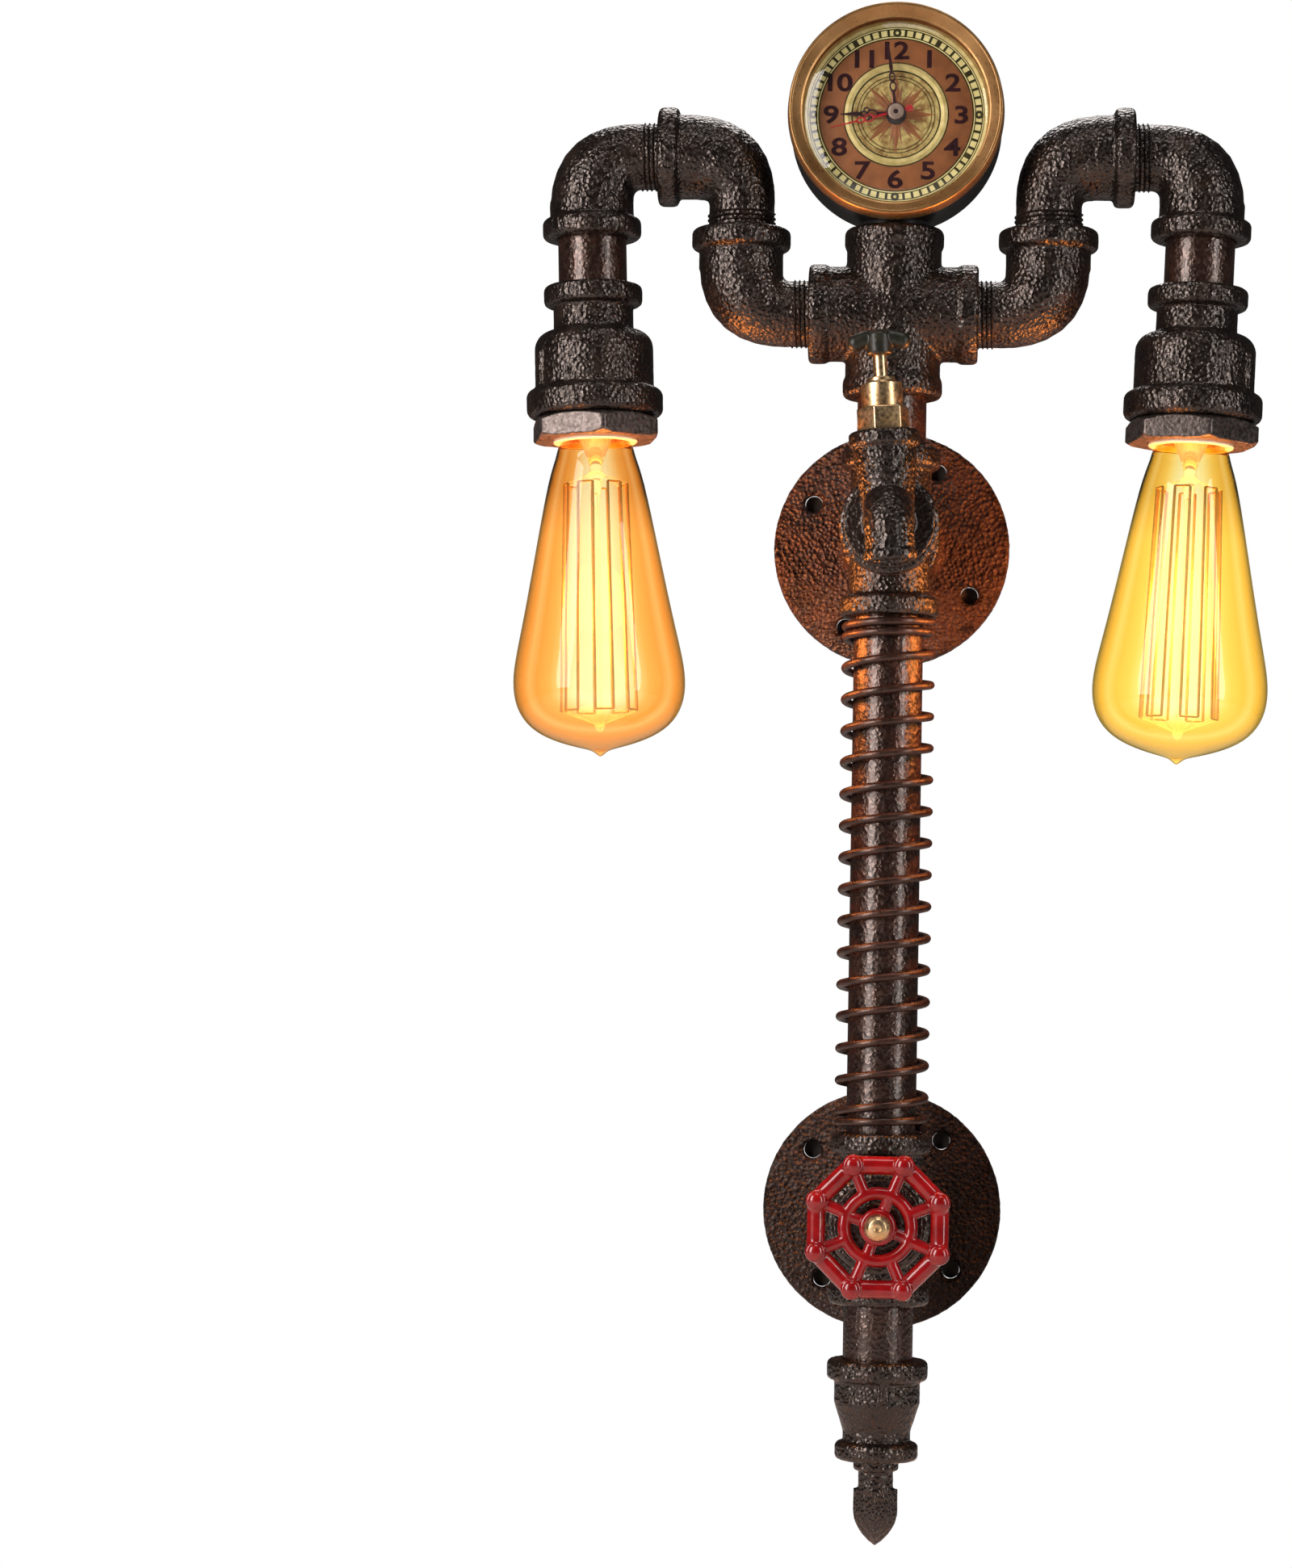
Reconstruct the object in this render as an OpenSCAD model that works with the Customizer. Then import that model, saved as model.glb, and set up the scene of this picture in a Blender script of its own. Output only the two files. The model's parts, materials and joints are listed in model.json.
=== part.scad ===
// Industrial wall lamp built from screwed pipe fittings: two wall flanges carry a riser pipe with a
// spring round it, a bib tap, a handwheel switch, a clock and two arms with hanging filament bulbs.
// The origin is the middle of the upper flange on the wall, +Z is up and the room is towards -Y.

/* [Pipework] */
// Outside diameter of the pipe
pipe_d = 26.9; // [24:0.1:30]
// Wall thickness of the pipe
pipe_wall = 2.65; // [2:0.05:3.5]
// Length of thread screwed into each port
thread_len = 15; // [12:0.5:16]
// How far the thread crest lies below the pipe's surface
thread_drop = 0.25; // [0.1:0.05:0.5]
// Play round a screwed thread
thread_play = 0.1; // [0.05:0.01:0.15]
// Free bore depth behind the end of a thread
thread_room = 1.5; // [1:0.5:2]
// Centre to face of a fitting
port_a = 33; // [31:0.5:38]
// Centre to end of an elbow's male end
male_b = 42; // [40:0.5:48]
// Outside diameter of the top cross's body
cross_body_d = 37; // [35:0.5:38]
// Outside diameter of the wall crosses' bodies
wall_body_d = 31.5; // [30.5:0.5:36]
// Outside diameter of the elbow bodies
elbow_body_d = 33; // [32:0.5:36]
// Outside diameter of the bead round a port
bead_d = 38.8; // [38.2:0.2:42]
// Width of the bead
bead_w = 8; // [6:0.5:10]
// Edge radius of the bead
bead_edge = 2; // [1:0.25:2.5]
// Diameter of an elbow's plain shank
shank_d = 25.6; // [25.2:0.1:26]
// Radius of an elbow's bend
bend_r = 18.5; // [18:0.25:19.5]

/* [Layout] */
// Visible length of the riser pipe between the two wall crosses
riser_len = 200; // [120:5:300]
// Visible length of the neck between the upper wall cross and the top cross
neck_len = 20; // [15:0.5:40]
// Visible length of the tail nipple
tail_len = 21; // [12:0.5:40]
// Visible length of the nipples to the wall
stub_len = 7; // [4:0.5:20]
// Length of thread that shows below the upper elbows
rise_show = 2; // [0:0.5:4]
// Visible length of the nipples above the lampholders
drop_len = 18.5; // [10:0.5:40]
// Inward lean of the hanging legs in degrees
drop_lean = 2; // [0:0.5:4]

/* [Flanges] */
// Diameter of a wall flange
flange_d = 95; // [90:1:110]
// Thickness of the flange plate
flange_t = 6; // [4:0.5:8]
// Diameter of the flange hub
hub_d = 38; // [36:0.5:42]
// Height of the flange hub from the wall
hub_h = 20; // [18:0.5:26]
// Radius of the fillet round the hub
hub_fillet = 4; // [2:0.5:6]
// Edge radius of the flange plate
flange_edge = 1.5; // [0.5:0.25:2]
// Number of screw holes in a flange
bolts = 4; // [3:1:6]
// Diameter of the circle of screw holes
bolt_circle_d = 73; // [70:0.5:76]
// Diameter of a screw hole
bolt_hole_d = 7.2; // [5:0.2:8]
// Diameter of the countersink at a screw hole
countersink_d = 10; // [9:0.5:12]
// Turn of the upper flange's holes in degrees
upper_turn = 60; // [0:1:90]
// Turn of the lower flange's holes in degrees
lower_turn = 50; // [0:1:90]

/* [Spring] */
// Wire diameter of the spring
wire_d = 3.2; // [2.4:0.1:3.4]
// Gap between the pipe and the inside of the coil
coil_gap = 1.6; // [1.5:0.1:3]
// Number of open turns
open_turns = 15; // [8:1:16]
// Number of closed turns at each end
closed_turns = 1.5; // [1:0.25:2]
// Gap between closed turns
closed_gap = 0.7; // [0.5:0.1:1]

/* [Clock] */
// Outside diameter of the clock case
case_d = 83; // [78:0.5:90]
// Depth of the clock case
case_depth = 34; // [28:0.5:38]
// Wall of the clock case at its rim
case_wall = 2.5; // [2:0.25:3]
// Gap between the case and the cross below it
case_gap = 1; // [0.8:0.1:4]
// How far the bezel stands out past the case
bezel_over = 0.5; // [0.25:0.25:1]
// How far the bezel stands proud of the case
bezel_h = 9; // [8.5:0.5:11]
// Width of the bezel's front band
bezel_band = 6; // [5.5:0.25:7]
// Thickness of the clock glass
glass_t = 1.8; // [1:0.2:1.8]
// Thickness of the dial
dial_t = 1; // [0.6:0.1:1]
// Gap between the movement's corners and the case
movement_gap = 1.1; // [0.8:0.1:1.5]
// Depth of the movement
movement_depth = 14; // [13:0.5:16]
// Length of the hour hand
hour_len = 21.5; // [15:0.5:24]
// Length of the minute hand
minute_len = 27; // [20:0.5:32]
// Length of the second hand
second_len = 26; // [20:0.5:32]

/* [Tap] */
// Lean of the tap to the left in degrees
tap_lean = 4; // [-10:1:10]
// Distance from the port's face to the tap's barrel
tap_reach = 15; // [14:0.5:22]
// Diameter of the collar on top of the tap
tap_collar_d = 27; // [25:0.5:30]
// Height of the tap's top above its inlet
tap_top = 33; // [29:0.5:36]
// Outside diameter of the spout
spout_d = 18.6; // [17:0.2:20]
// Bore of the spout
spout_bore_d = 13; // [10:0.5:14]
// Drop of the spout's mouth below the inlet
spout_drop = 17.6; // [14:0.2:26]
// Bend radius of the spout
spout_bend_r = 10.5; // [10:0.25:13]
// Width across the flats of the bonnet
bonnet_af = 17.6; // [16:0.2:19]
// Height of the bonnet
bonnet_h = 9; // [7:0.2:10]
// Diameter of the gland nut
gland_d = 15.6; // [13:0.2:16]
// Height of the gland nut
gland_h = 11.6; // [8:0.2:13]
// Diameter of the tap stem
stem_d = 5.4; // [4.6:0.1:6.4]
// Free length of the stem between the gland and the handle
stem_show = 8.4; // [5:0.2:12]
// Span of the T handle
handle_span = 24; // [20:0.5:30]
// Thickness of the T handle's bar
handle_bar_d = 6.4; // [5:0.2:8]

/* [Handwheel] */
// Width of the handwheel across opposite sides
wheel_w = 53; // [50:0.5:60]
// Number of corners of the rim
wheel_corners = 8; // [6:1:10]
// Thickness of the rim
rim_d = 6; // [5:0.2:7]
// Thickness of the knobs at the corners
knob_d = 7; // [6.6:0.2:8]
// Radius of the inner ring
inner_ring_r = 12.6; // [12:0.2:14]
// Thickness of the inner ring
inner_ring_d = 4; // [3.4:0.2:4.6]
// Diameter of the wheel's hub
wheel_hub_d = 13; // [12:0.5:15]
// Distance from the port's face to the wheel's middle plane
wheel_reach = 20; // [18:0.5:26]
// Diameter of the switch spindle
spindle_d = 6; // [5:0.2:7]

/* [Lampholders] */
// Diameter of a cup's neck
cup_neck_d = 31.4; // [30.6:0.2:34]
// Diameter of a cup's body
cup_body_d = 46.6; // [45.6:0.2:50]
// Diameter of the large bead on a cup
cup_bead_d = 53.6; // [52:0.2:56]
// Height of a cup
cup_h = 52; // [50:0.5:56]
// Width of the large bead
cup_bead_w = 11; // [9:0.5:11.5]
// Width across the corners of the hexagon ring
ring_corner_d = 53.4; // [51:0.2:55]
// Height of the hexagon ring
ring_h = 9.2; // [8:0.2:14]
// Thread diameter of the hexagon ring
ring_thread_d = 39; // [38:0.2:40]
// Bore of the hexagon ring
ring_bore_d = 33.6; // [33:0.2:34]
// How far the porcelain shows below the ring
lip_show = 1; // [0.6:0.2:3]
// Turn of the left ring in degrees
left_ring_turn = 18; // [0:1:60]
// Turn of the right ring in degrees
right_ring_turn = 42; // [0:1:60]

/* [Bulbs] */
// Largest diameter of a bulb
bulb_d = 67; // [62:0.5:70]
// Length of a bulb's glass below the ring
bulb_show = 124.5; // [118:0.5:132]
// Radius of the round lower end of a bulb
bulb_round_r = 24; // [22:0.5:26]
// Slope of a bulb's blunt point in degrees
bulb_point = 30; // [24:1:36]
// Flare of a bulb's side in degrees
bulb_flare = 11; // [9:0.25:12]
// Thickness of the bulb glass
bulb_glass_t = 0.9; // [0.7:0.1:1.2]
// Diameter of the screw cap
cap_d = 26; // [25.6:0.1:26.2]
// Number of filament strands
strands = 12; // [8:2:16]
// Thickness of a filament strand
strand_d = 0.7; // [0.5:0.1:1]

/* [Tail] */
// Length of the tail reducer
reducer_h = 38.5; // [36:0.5:44]
// Diameter of the reducer's lower bead
reducer_bead_d = 32; // [31:0.5:34]
// Thread diameter of the finial
finial_thread_d = 20.4; // [19:0.2:21]
// Diameter of the finial's neck
finial_neck_d = 13.4; // [11:0.2:15]
// Width of the spear across its corners
spear_corner_d = 17.4; // [16:0.2:20]
// Height of the spear's straight sides
spear_side_h = 8; // [4:0.5:12]
// Height of the spear's point
spear_point_h = 14; // [12:0.5:20]

/* [Hidden] */
$fn = 64;

// Colours
iron = [0.19, 0.15, 0.13];
steel = [0.24, 0.23, 0.23];
brass = [0.80, 0.62, 0.28];
copper = [0.74, 0.49, 0.28];
enamel = [0.66, 0.06, 0.08];
porcelain = [0.93, 0.89, 0.80];
amber = [0.95, 0.62, 0.20];
black = [0.08, 0.08, 0.08];

// Small laps and clearances
lap = 1;
rub = 0.05;
slack = 0.2;
proud = 1;

// Pipework
pipe_r = pipe_d / 2;
pass_r = pipe_r - pipe_wall;
male_r = pipe_r - thread_drop;
bore_r = male_r + thread_play;
bore_depth = thread_len + thread_room;
arm_reach = port_a + male_b - thread_len;
axis_y = -(hub_h + stub_len + port_a);
face_y = axis_y - port_a;

// Heights of the fittings
cross_z = neck_len + 2 * port_a;
lower_z = -(riser_len + 2 * port_a);
run_z = cross_z + arm_reach + rise_show;
drop_x = 2 * arm_reach;
tail_z = lower_z - port_a - tail_len;

// Clock
case_r = case_d / 2;
bezel_r = case_r + bezel_over;
clock_z = cross_z + port_a + case_gap + bezel_r;
rim_r = case_r - case_wall;
ledge_w = 2;
glass_rebate = 1.4;
dial_drop = 5;
hand_stand = 1.7;
bezel_lip = 4.5;
ledge_r = rim_r - ledge_w;
movement_w = (ledge_r - movement_gap) * sqrt(2);
glass_r = rim_r - glass_rebate;
lip_r = bezel_r - bezel_band;
ledge_f = case_depth - dial_drop;
dial_f = ledge_f + dial_t;
glass_f = case_depth + bezel_h - bezel_lip - glass_t;
post_r = 1.2;
bush_r = 4;
collet_r = 2.6;
collet_h = 1.3;
hand_t = 0.6;
hour_f = dial_f + hand_stand;
minute_f = hour_f + collet_h + slack;
second_f = minute_f + collet_h + slack;
battery_d = 10.4;
battery_len = 44;
bay_rise = 3;
bay_front = 1.5;

// Tap
tap_y = face_y - tap_reach;
collar_h = 6;
bonnet_z = tap_top;
gland_z = bonnet_z + bonnet_h;
handle_z = gland_z + gland_h + stem_show;
handle_hub_h = 9;
stem_r = stem_d / 2;
bonnet_screw_r = bonnet_af / 2 - 1.8;
bonnet_screw_len = 8;
stem_seat = 3;

// Handwheel
wheel_y = face_y - wheel_reach;
wheel_corner_r = (wheel_w - knob_d) / 2 / cos(180 / wheel_corners);
spindle_r = spindle_d / 2;
wheel_hub_h = 9;
bushing_h = 6;
nose_r = 6.5;
nose_end = bushing_h + 3;
spindle_from = -thread_len - 4;
wheel_dish = 2.5;
nut_seat = wheel_hub_h / 2 - wheel_dish;
nut_hole_h = 5;
spindle_to = wheel_reach + nut_seat + nut_hole_h - slack;

// Lampholder heights, measured down the leg from the drop elbow's centre
cup_w = port_a + drop_len;
cup_mouth_w = cup_w + cup_h;
ring_end_w = cup_mouth_w + ring_h;
ring_thread_r = ring_thread_d / 2;
ring_grip = 11;
seat_w = cup_mouth_w - ring_grip;
holder_r = ring_bore_d / 2 - slack;
holder_end_w = ring_end_w + lip_show;
holder_flange_h = 4;
holder_roof_w = seat_w - 12;
shell_top_w = holder_roof_w + 6;
cap_r = cap_d / 2;
shell_r = cap_r + 0.15;
shell_t = 0.6;
cap_top_w = shell_top_w + 2.2;
cap_end_w = ring_end_w - 1;
cap_wall = 0.6;

// Bulb outline
bulb_r = bulb_d / 2;
pip_h = 1.5;
tip_r = 5;
bulb_end_w = ring_end_w + bulb_show - pip_h;
neck_r = cap_r - cap_wall - 0.1;
neck_grip = 9;
neck_top_w = cap_end_w - neck_grip;
round_x = bulb_r - bulb_round_r;
cone_x = round_x + bulb_round_r * sin(bulb_point);
cone_h = (cone_x - tip_r) * tan(bulb_point);
round_w = bulb_end_w - cone_h - bulb_round_r * cos(bulb_point);
shoulder_drop = 14;
shoulder_w = ring_end_w + shoulder_drop;
filament_head = 3;
filament_foot = 15.5;
filament_top_w = shoulder_w + filament_head;
filament_end_w = bulb_end_w - filament_foot;
filament_top_r = 11.5;
filament_end_r = 15;
strand_turn = 9;
joint_r = strand_d * 0.7;

// Shapes that repeat

// Half section of a port: a body with a rounded bead at its face.
module port_section(body_r, face, rim_r, rim_w, edge) {
  square([body_r, face]);
  translate([0, face - rim_w])
    bead_section(rim_r, rim_w, edge);
}

// Half section of a rounded band of radius r and width w.
module bead_section(r, w, edge) {
  square([r - edge, w]);
  translate([0, edge])
    square([r, w - 2 * edge]);
  for (h = [edge, w - edge])
    translate([r - edge, h])
      circle(edge);
}

// A plain cylinder between two heights.
module bar(r, from, to) {
  translate([0, 0, from])
    cylinder(r = r, h = to - from);
}

// A round rod between two points.
module rod(p, q, r) {
  d = q - p;
  len = norm(d);
  translate(p)
    rotate([0, acos(d[2] / len), atan2(d[1], d[0])])
      cylinder(r = r, h = len);
}

// A screwed nipple whose visible part runs from 0 to len.
module nipple(len) {
  rotate_extrude() {
    translate([pass_r, 0])
      square([pipe_wall, len]);
    translate([pass_r, -thread_len])
      square([male_r - pass_r, len + 2 * thread_len]);
  }
}

// A cross with ports along X and Z.
module cross_fitting(body_d) {
  difference() {
    union()
      for (a = [0:90:270])
        rotate([0, a, 0])
          rotate_extrude()
            port_section(body_d / 2, port_a, bead_d / 2, bead_w, bead_edge);
    for (a = [0, 90])
      rotate([0, a, 0])
        bar(pass_r, -port_a - proud, port_a + proud);
    for (a = [0:90:270])
      rotate([0, a, 0])
        bar(bore_r, port_a - bore_depth, port_a + proud);
  }
}

function mix(a, b, x) = a + (b - a) * x;
function ease(x) = x * x * (3 - 2 * x);

// One ring of the bend, a share f of the way round from the male end.
function bend_ring(bend, tangent, f, r, sides) = [
  for (i = [0:sides - 1])
    let (
      q = 360 * i / sides,
      reach = bend_r - r * cos(q),
      a = bend * f
    )
    [tangent - reach * sin(a), r * sin(q), bend_r - reach * cos(a)]
];

// The elbow's bend swells from the slim male shank to the thick female body in a first share of its arc.
module swelling_bend(bend, tangent, r_from, r_to) {
  sides = 24;
  steps = 8;
  share = 0.65;
  points = [
    for (j = [0:steps])
      let (f = j / steps)
      each bend_ring(bend, tangent, f, mix(r_from, r_to, ease(min(1, f / share))), sides)
  ];
  first_cap = [for (i = [0:sides - 1]) i];
  last_cap = [for (i = [sides - 1:-1:0]) steps * sides + i];
  skin = [
    for (j = [0:steps - 1], i = [0:sides - 1])
      let (
        k = (i + 1) % sides,
        a = j * sides,
        b = a + sides
      )
      each [[a + i, b + i, b + k], [a + i, b + k, a + k]]
  ];
  polyhedron(points, concat([first_cap, last_cap], skin), convexity = 6);
}

// A street elbow: the male end points along +X, the female port turns up by the bend angle.
module street_elbow(bend) {
  tangent = bend_r * tan(bend / 2);
  thread_from = male_b - thread_len;
  lean = bend - 90;
  hole_r = pass_r - slack;
  difference() {
    union() {
      swelling_bend(bend, tangent, shank_d / 2 + slack, elbow_body_d / 2 - slack);
      rotate([0, 90, 0]) {
        bar(shank_d / 2, tangent - lap, thread_from + lap);
        bar(male_r, thread_from, male_b);
      }
      rotate([0, lean, 0])
        rotate_extrude()
          translate([0, tangent - lap])
            port_section(elbow_body_d / 2, port_a - tangent + lap, bead_d / 2, bead_w, bead_edge);
    }
    translate([tangent, 0, bend_r])
      rotate([90, 0, 0])
        rotate([0, 0, 270 - bend])
          rotate_extrude(angle = bend)
            translate([bend_r, 0])
              circle(pass_r);
    rotate([0, 90, 0])
      bar(hole_r, tangent - lap, male_b + proud);
    rotate([0, lean, 0]) {
      bar(hole_r, tangent - lap, port_a + proud);
      bar(bore_r, port_a - bore_depth, port_a + proud);
    }
  }
}

// Lays a shape that stands on the XY plane against the wall, pointing into the room.
module off_wall() {
  rotate([90, 0, 0])
    children();
}

module wall_flange(turn) {
  hub_r = hub_d / 2;
  flange_r = flange_d / 2;
  difference() {
    off_wall()
      rotate_extrude() {
        square([flange_r, flange_t - flange_edge]);
        square([flange_r - flange_edge, flange_t]);
        translate([flange_r - flange_edge, flange_t - flange_edge])
          circle(flange_edge);
        square([hub_r, hub_h]);
        translate([hub_r, flange_t])
          difference() {
            square(hub_fillet);
            translate([hub_fillet, hub_fillet])
              circle(hub_fillet);
          }
      }
    off_wall()
      bar(bore_r, -proud, hub_h + proud);
    for (i = [0:bolts - 1])
      rotate([0, -turn - 360 * i / bolts, 0])
        translate([bolt_circle_d / 2, 0, 0])
          off_wall() {
            bar(bolt_hole_d / 2, -proud, flange_t + proud);
            translate([0, 0, flange_t - (countersink_d - bolt_hole_d) / 2])
              cylinder(d1 = bolt_hole_d, d2 = countersink_d + 2 * proud,
                h = (countersink_d - bolt_hole_d) / 2 + proud);
          }
  }
}

// Wall side

module upper_flange() {
  color(iron)
    wall_flange(upper_turn);
}

module lower_flange() {
  color(iron)
    translate([0, 0, lower_z])
      wall_flange(lower_turn);
}

module upper_wall_nipple() {
  color(steel)
    translate([0, -hub_h, 0])
      off_wall()
        nipple(stub_len);
}

module lower_wall_nipple() {
  color(steel)
    translate([0, -hub_h, lower_z])
      off_wall()
        nipple(stub_len);
}

module upper_cross() {
  color(iron)
    translate([0, axis_y, 0])
      rotate([0, 0, 90])
        cross_fitting(wall_body_d);
}

module lower_cross() {
  color(iron)
    translate([0, axis_y, lower_z])
      rotate([0, 0, 90])
        cross_fitting(wall_body_d);
}

// Column

module top_cross() {
  color(iron)
    translate([0, axis_y, cross_z])
      cross_fitting(cross_body_d);
}

module neck_nipple() {
  color(iron)
    translate([0, axis_y, port_a])
      nipple(neck_len);
}

module riser_pipe() {
  color(iron)
    translate([0, axis_y, lower_z + port_a])
      nipple(riser_len);
}

module tail_nipple() {
  color(iron)
    translate([0, axis_y, tail_z])
      nipple(tail_len);
}

// The coil's centre line: closed turns at both ends and open turns between them.
coil_rings = 8;
coil_sides = 6;
wire_r = wire_d / 2;
coil_r = pipe_r + coil_gap + wire_r;
closed_pitch = wire_d + closed_gap;
coil_h = riser_len - wire_d - 2 * slack;
open_pitch = (coil_h - 2 * closed_turns * closed_pitch) / open_turns;
coil_turns = open_turns + 2 * closed_turns;
function coil_height(t) =
  closed_pitch * min(t, closed_turns)
  + open_pitch * min(max(t - closed_turns, 0), open_turns)
  + closed_pitch * max(t - closed_turns - open_turns, 0);
function coil_point(t) = [coil_r * cos(360 * t), coil_r * sin(360 * t), coil_height(t)];
coil_steps = round(coil_turns * coil_rings);
coil_line = [for (i = [0:coil_steps]) coil_point(i * coil_turns / coil_steps)];
coil_apart = [
  for (i = [0:coil_steps - coil_rings + 2], j = [i + coil_rings - 2:coil_steps])
    norm(coil_line[i] - coil_line[j]) - wire_d
];
echo(spring_least_gap = min(coil_apart));  // spring

module spring() {
  points = [
    for (i = [0:coil_steps])
      let (
        turn = 360 * i * coil_turns / coil_steps,
        out = [cos(turn), sin(turn), 0]
      )
      for (s = [0:coil_sides - 1])
        let (q = 360 * (s + 0.5) / coil_sides)
        coil_line[i] + wire_r * (cos(q) * out + sin(q) * [0, 0, 1])
  ];
  skin = [
    for (i = [0:coil_steps - 1], s = [0:coil_sides - 1])
      let (
        k = (s + 1) % coil_sides,
        a = i * coil_sides,
        b = a + coil_sides
      )
      each [[a + s, a + k, b + k], [a + s, b + k, b + s]]
  ];
  first_cap = [for (s = [1:coil_sides - 2]) [0, s + 1, s]];
  last = coil_steps * coil_sides;
  last_cap = [for (s = [1:coil_sides - 2]) [last, last + s, last + s + 1]];
  color(steel)
    translate([0, axis_y, lower_z + port_a + wire_r + slack])
      polyhedron(points, concat(first_cap, last_cap, skin), convexity = 10);
}

// Tail

module tail_reducer() {
  body_r = elbow_body_d / 2;
  low_r = reducer_bead_d / 2;
  waist_r = low_r - 3;
  low_bead_w = bead_w - 1;
  waist_h = reducer_h - low_bead_w;
  rib_w = 3.2;
  rib_h = 1.8;
  rib_end = bore_depth - lap;
  low_bore_r = finial_thread_d / 2 + thread_play;
  color(iron)
    translate([0, axis_y, tail_z])
      rotate([180, 0, 0])
        difference() {
          union() {
            rotate_extrude() {
              bead_section(bead_d / 2, bead_w, bead_edge);
              polygon([[0, 0], [body_r, 0], [body_r, bore_depth], [waist_r, waist_h - 4],
                [waist_r, reducer_h], [0, reducer_h]]);
              translate([0, waist_h])
                bead_section(low_r, low_bead_w, bead_edge);
            }
            for (a = [80, 260])
              rotate([0, 0, a])
                translate([0, -rib_w / 2, bead_w / 2])
                  cube([body_r + rib_h, rib_w, rib_end - bead_w / 2]);
          }
          bar(bore_r, -proud, bore_depth);
          bar(low_bore_r - 1.5, 0, reducer_h);
          bar(low_bore_r, reducer_h - 13, reducer_h + proud);
        }
}

module spear_outline(half) {
  arc_r = (spear_point_h * spear_point_h + half * half) / (2 * half);
  translate([-half, 0])
    square([2 * half, spear_side_h]);
  translate([0, spear_side_h])
    intersection() {
      translate([half - arc_r, 0])
        circle(arc_r);
      translate([arc_r - half, 0])
        circle(arc_r);
      translate([-half, -lap])
        square([2 * half, spear_point_h + lap]);
    }
}

module finial() {
  half = spear_corner_d / 2 / sqrt(2);
  collar_r = finial_neck_d / 2 + 2;
  collar_h = 4;
  neck_h = 7;
  thread_h = 11;
  color(iron)
    translate([0, axis_y, tail_z - reducer_h])
      rotate([180, 0, 0]) {
        rotate_extrude() {
          translate([0, -thread_h])
            square([finial_thread_d / 2, thread_h]);
          bead_section(collar_r, collar_h, 1);
          square([finial_neck_d / 2, collar_h + neck_h + lap]);
        }
        translate([0, 0, collar_h + neck_h])
          rotate([0, 0, 45])
            intersection() {
              rotate([90, 0, 0])
                linear_extrude(2 * half + proud, center = true)
                  spear_outline(half);
              rotate([90, 0, 90])
                linear_extrude(2 * half + proud, center = true)
                  spear_outline(half);
            }
      }
}

// Tap

// Turns the tap about its inlet.
module on_tap() {
  rotate([0, -tap_lean, 0])
    children();
}

module tap_body() {
  spout_r = spout_d / 2;
  flare_r = tap_collar_d / 2;
  waist_r = spout_r + 0.5;
  spout_z = 4;
  neck_z = tap_top - collar_h - 4;
  bend_y = tap_y - 2;
  mouth_y = bend_y - spout_bend_r;
  bend_end_z = spout_z - spout_bend_r;
  inlet_collar_r = bead_d / 2 - 2;
  bonnet_hole_r = bonnet_screw_r + thread_play;
  inlet_collar_h = 4;
  mouth_bead_h = 4;
  inlet_depth = 2;
  color(iron)
    on_tap()
      difference() {
        union() {
          translate([0, face_y, 0])
            off_wall() {
              bar(male_r, -thread_len, lap);
              bar(inlet_collar_r, 0, inlet_collar_h);
              bar(waist_r, inlet_collar_h - lap, tap_reach);
            }
          translate([0, tap_y, 0])
            rotate_extrude() {
              translate([0, tap_top - collar_h])
                bead_section(flare_r, collar_h, 1.5);
              polygon([[0, 0], [waist_r, 0], [waist_r, spout_z], [flare_r - 1.5, neck_z],
                [flare_r - 1.5, tap_top - lap], [0, tap_top - lap]]);
            }
          translate([0, tap_y, 0])
            sphere(waist_r + rub);
          translate([0, tap_y, spout_z])
            off_wall()
              bar(spout_r, 0, tap_y - bend_y);
          translate([0, bend_y, bend_end_z])
            rotate([90, 0, -90])
              rotate_extrude(angle = 90)
                translate([spout_bend_r, 0])
                  circle(spout_r);
          translate([0, mouth_y, 0]) {
            bar(spout_r, -spout_drop, bend_end_z);
            translate([0, 0, -spout_drop])
              rotate_extrude()
                bead_section(spout_r + 0.8, mouth_bead_h, 1);
          }
        }
        translate([0, mouth_y, 0])
          bar(spout_bore_d / 2, -spout_drop - proud, bend_end_z);
        translate([0, tap_y, 0])
          bar(bonnet_hole_r, tap_top - bonnet_screw_len - slack, tap_top + proud);
        translate([0, face_y, 0])
          off_wall()
            bar(pass_r - inlet_depth, -thread_len - proud, inlet_depth);
      }
}

module tap_bonnet() {
  color(brass)
    on_tap()
      translate([0, tap_y, 0])
        difference() {
          union() {
            bar(bonnet_screw_r, bonnet_z - bonnet_screw_len, bonnet_z + lap);
            intersection() {
              translate([0, 0, bonnet_z])
                rotate([0, 0, 12])
                  cylinder(d = bonnet_af / cos(30), h = bonnet_h, $fn = 6);
              translate([0, 0, bonnet_z])
                rotate_extrude()
                  bead_section(bonnet_af / 2 / cos(30) - 0.2, bonnet_h, 0.8);
            }
          }
          bar(stem_r + rub, bonnet_z - bonnet_screw_len - proud, gland_z + proud);
        }
}

module tap_gland() {
  step_w = 2.6;
  step_h = 2;
  color(brass)
    on_tap()
      translate([0, tap_y, gland_z])
        difference() {
          rotate_extrude() {
            bead_section(gland_d / 2, gland_h - step_h, 0.6);
            bead_section(gland_d / 2 - step_w, gland_h, 0.8);
          }
          bar(stem_r + rub, -proud, gland_h + proud);
        }
}

module tap_stem() {
  color(brass)
    on_tap()
      translate([0, tap_y, 0])
        bar(stem_r, bonnet_z - bonnet_screw_len + 2, handle_z + handle_hub_h - stem_seat);
}

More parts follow.
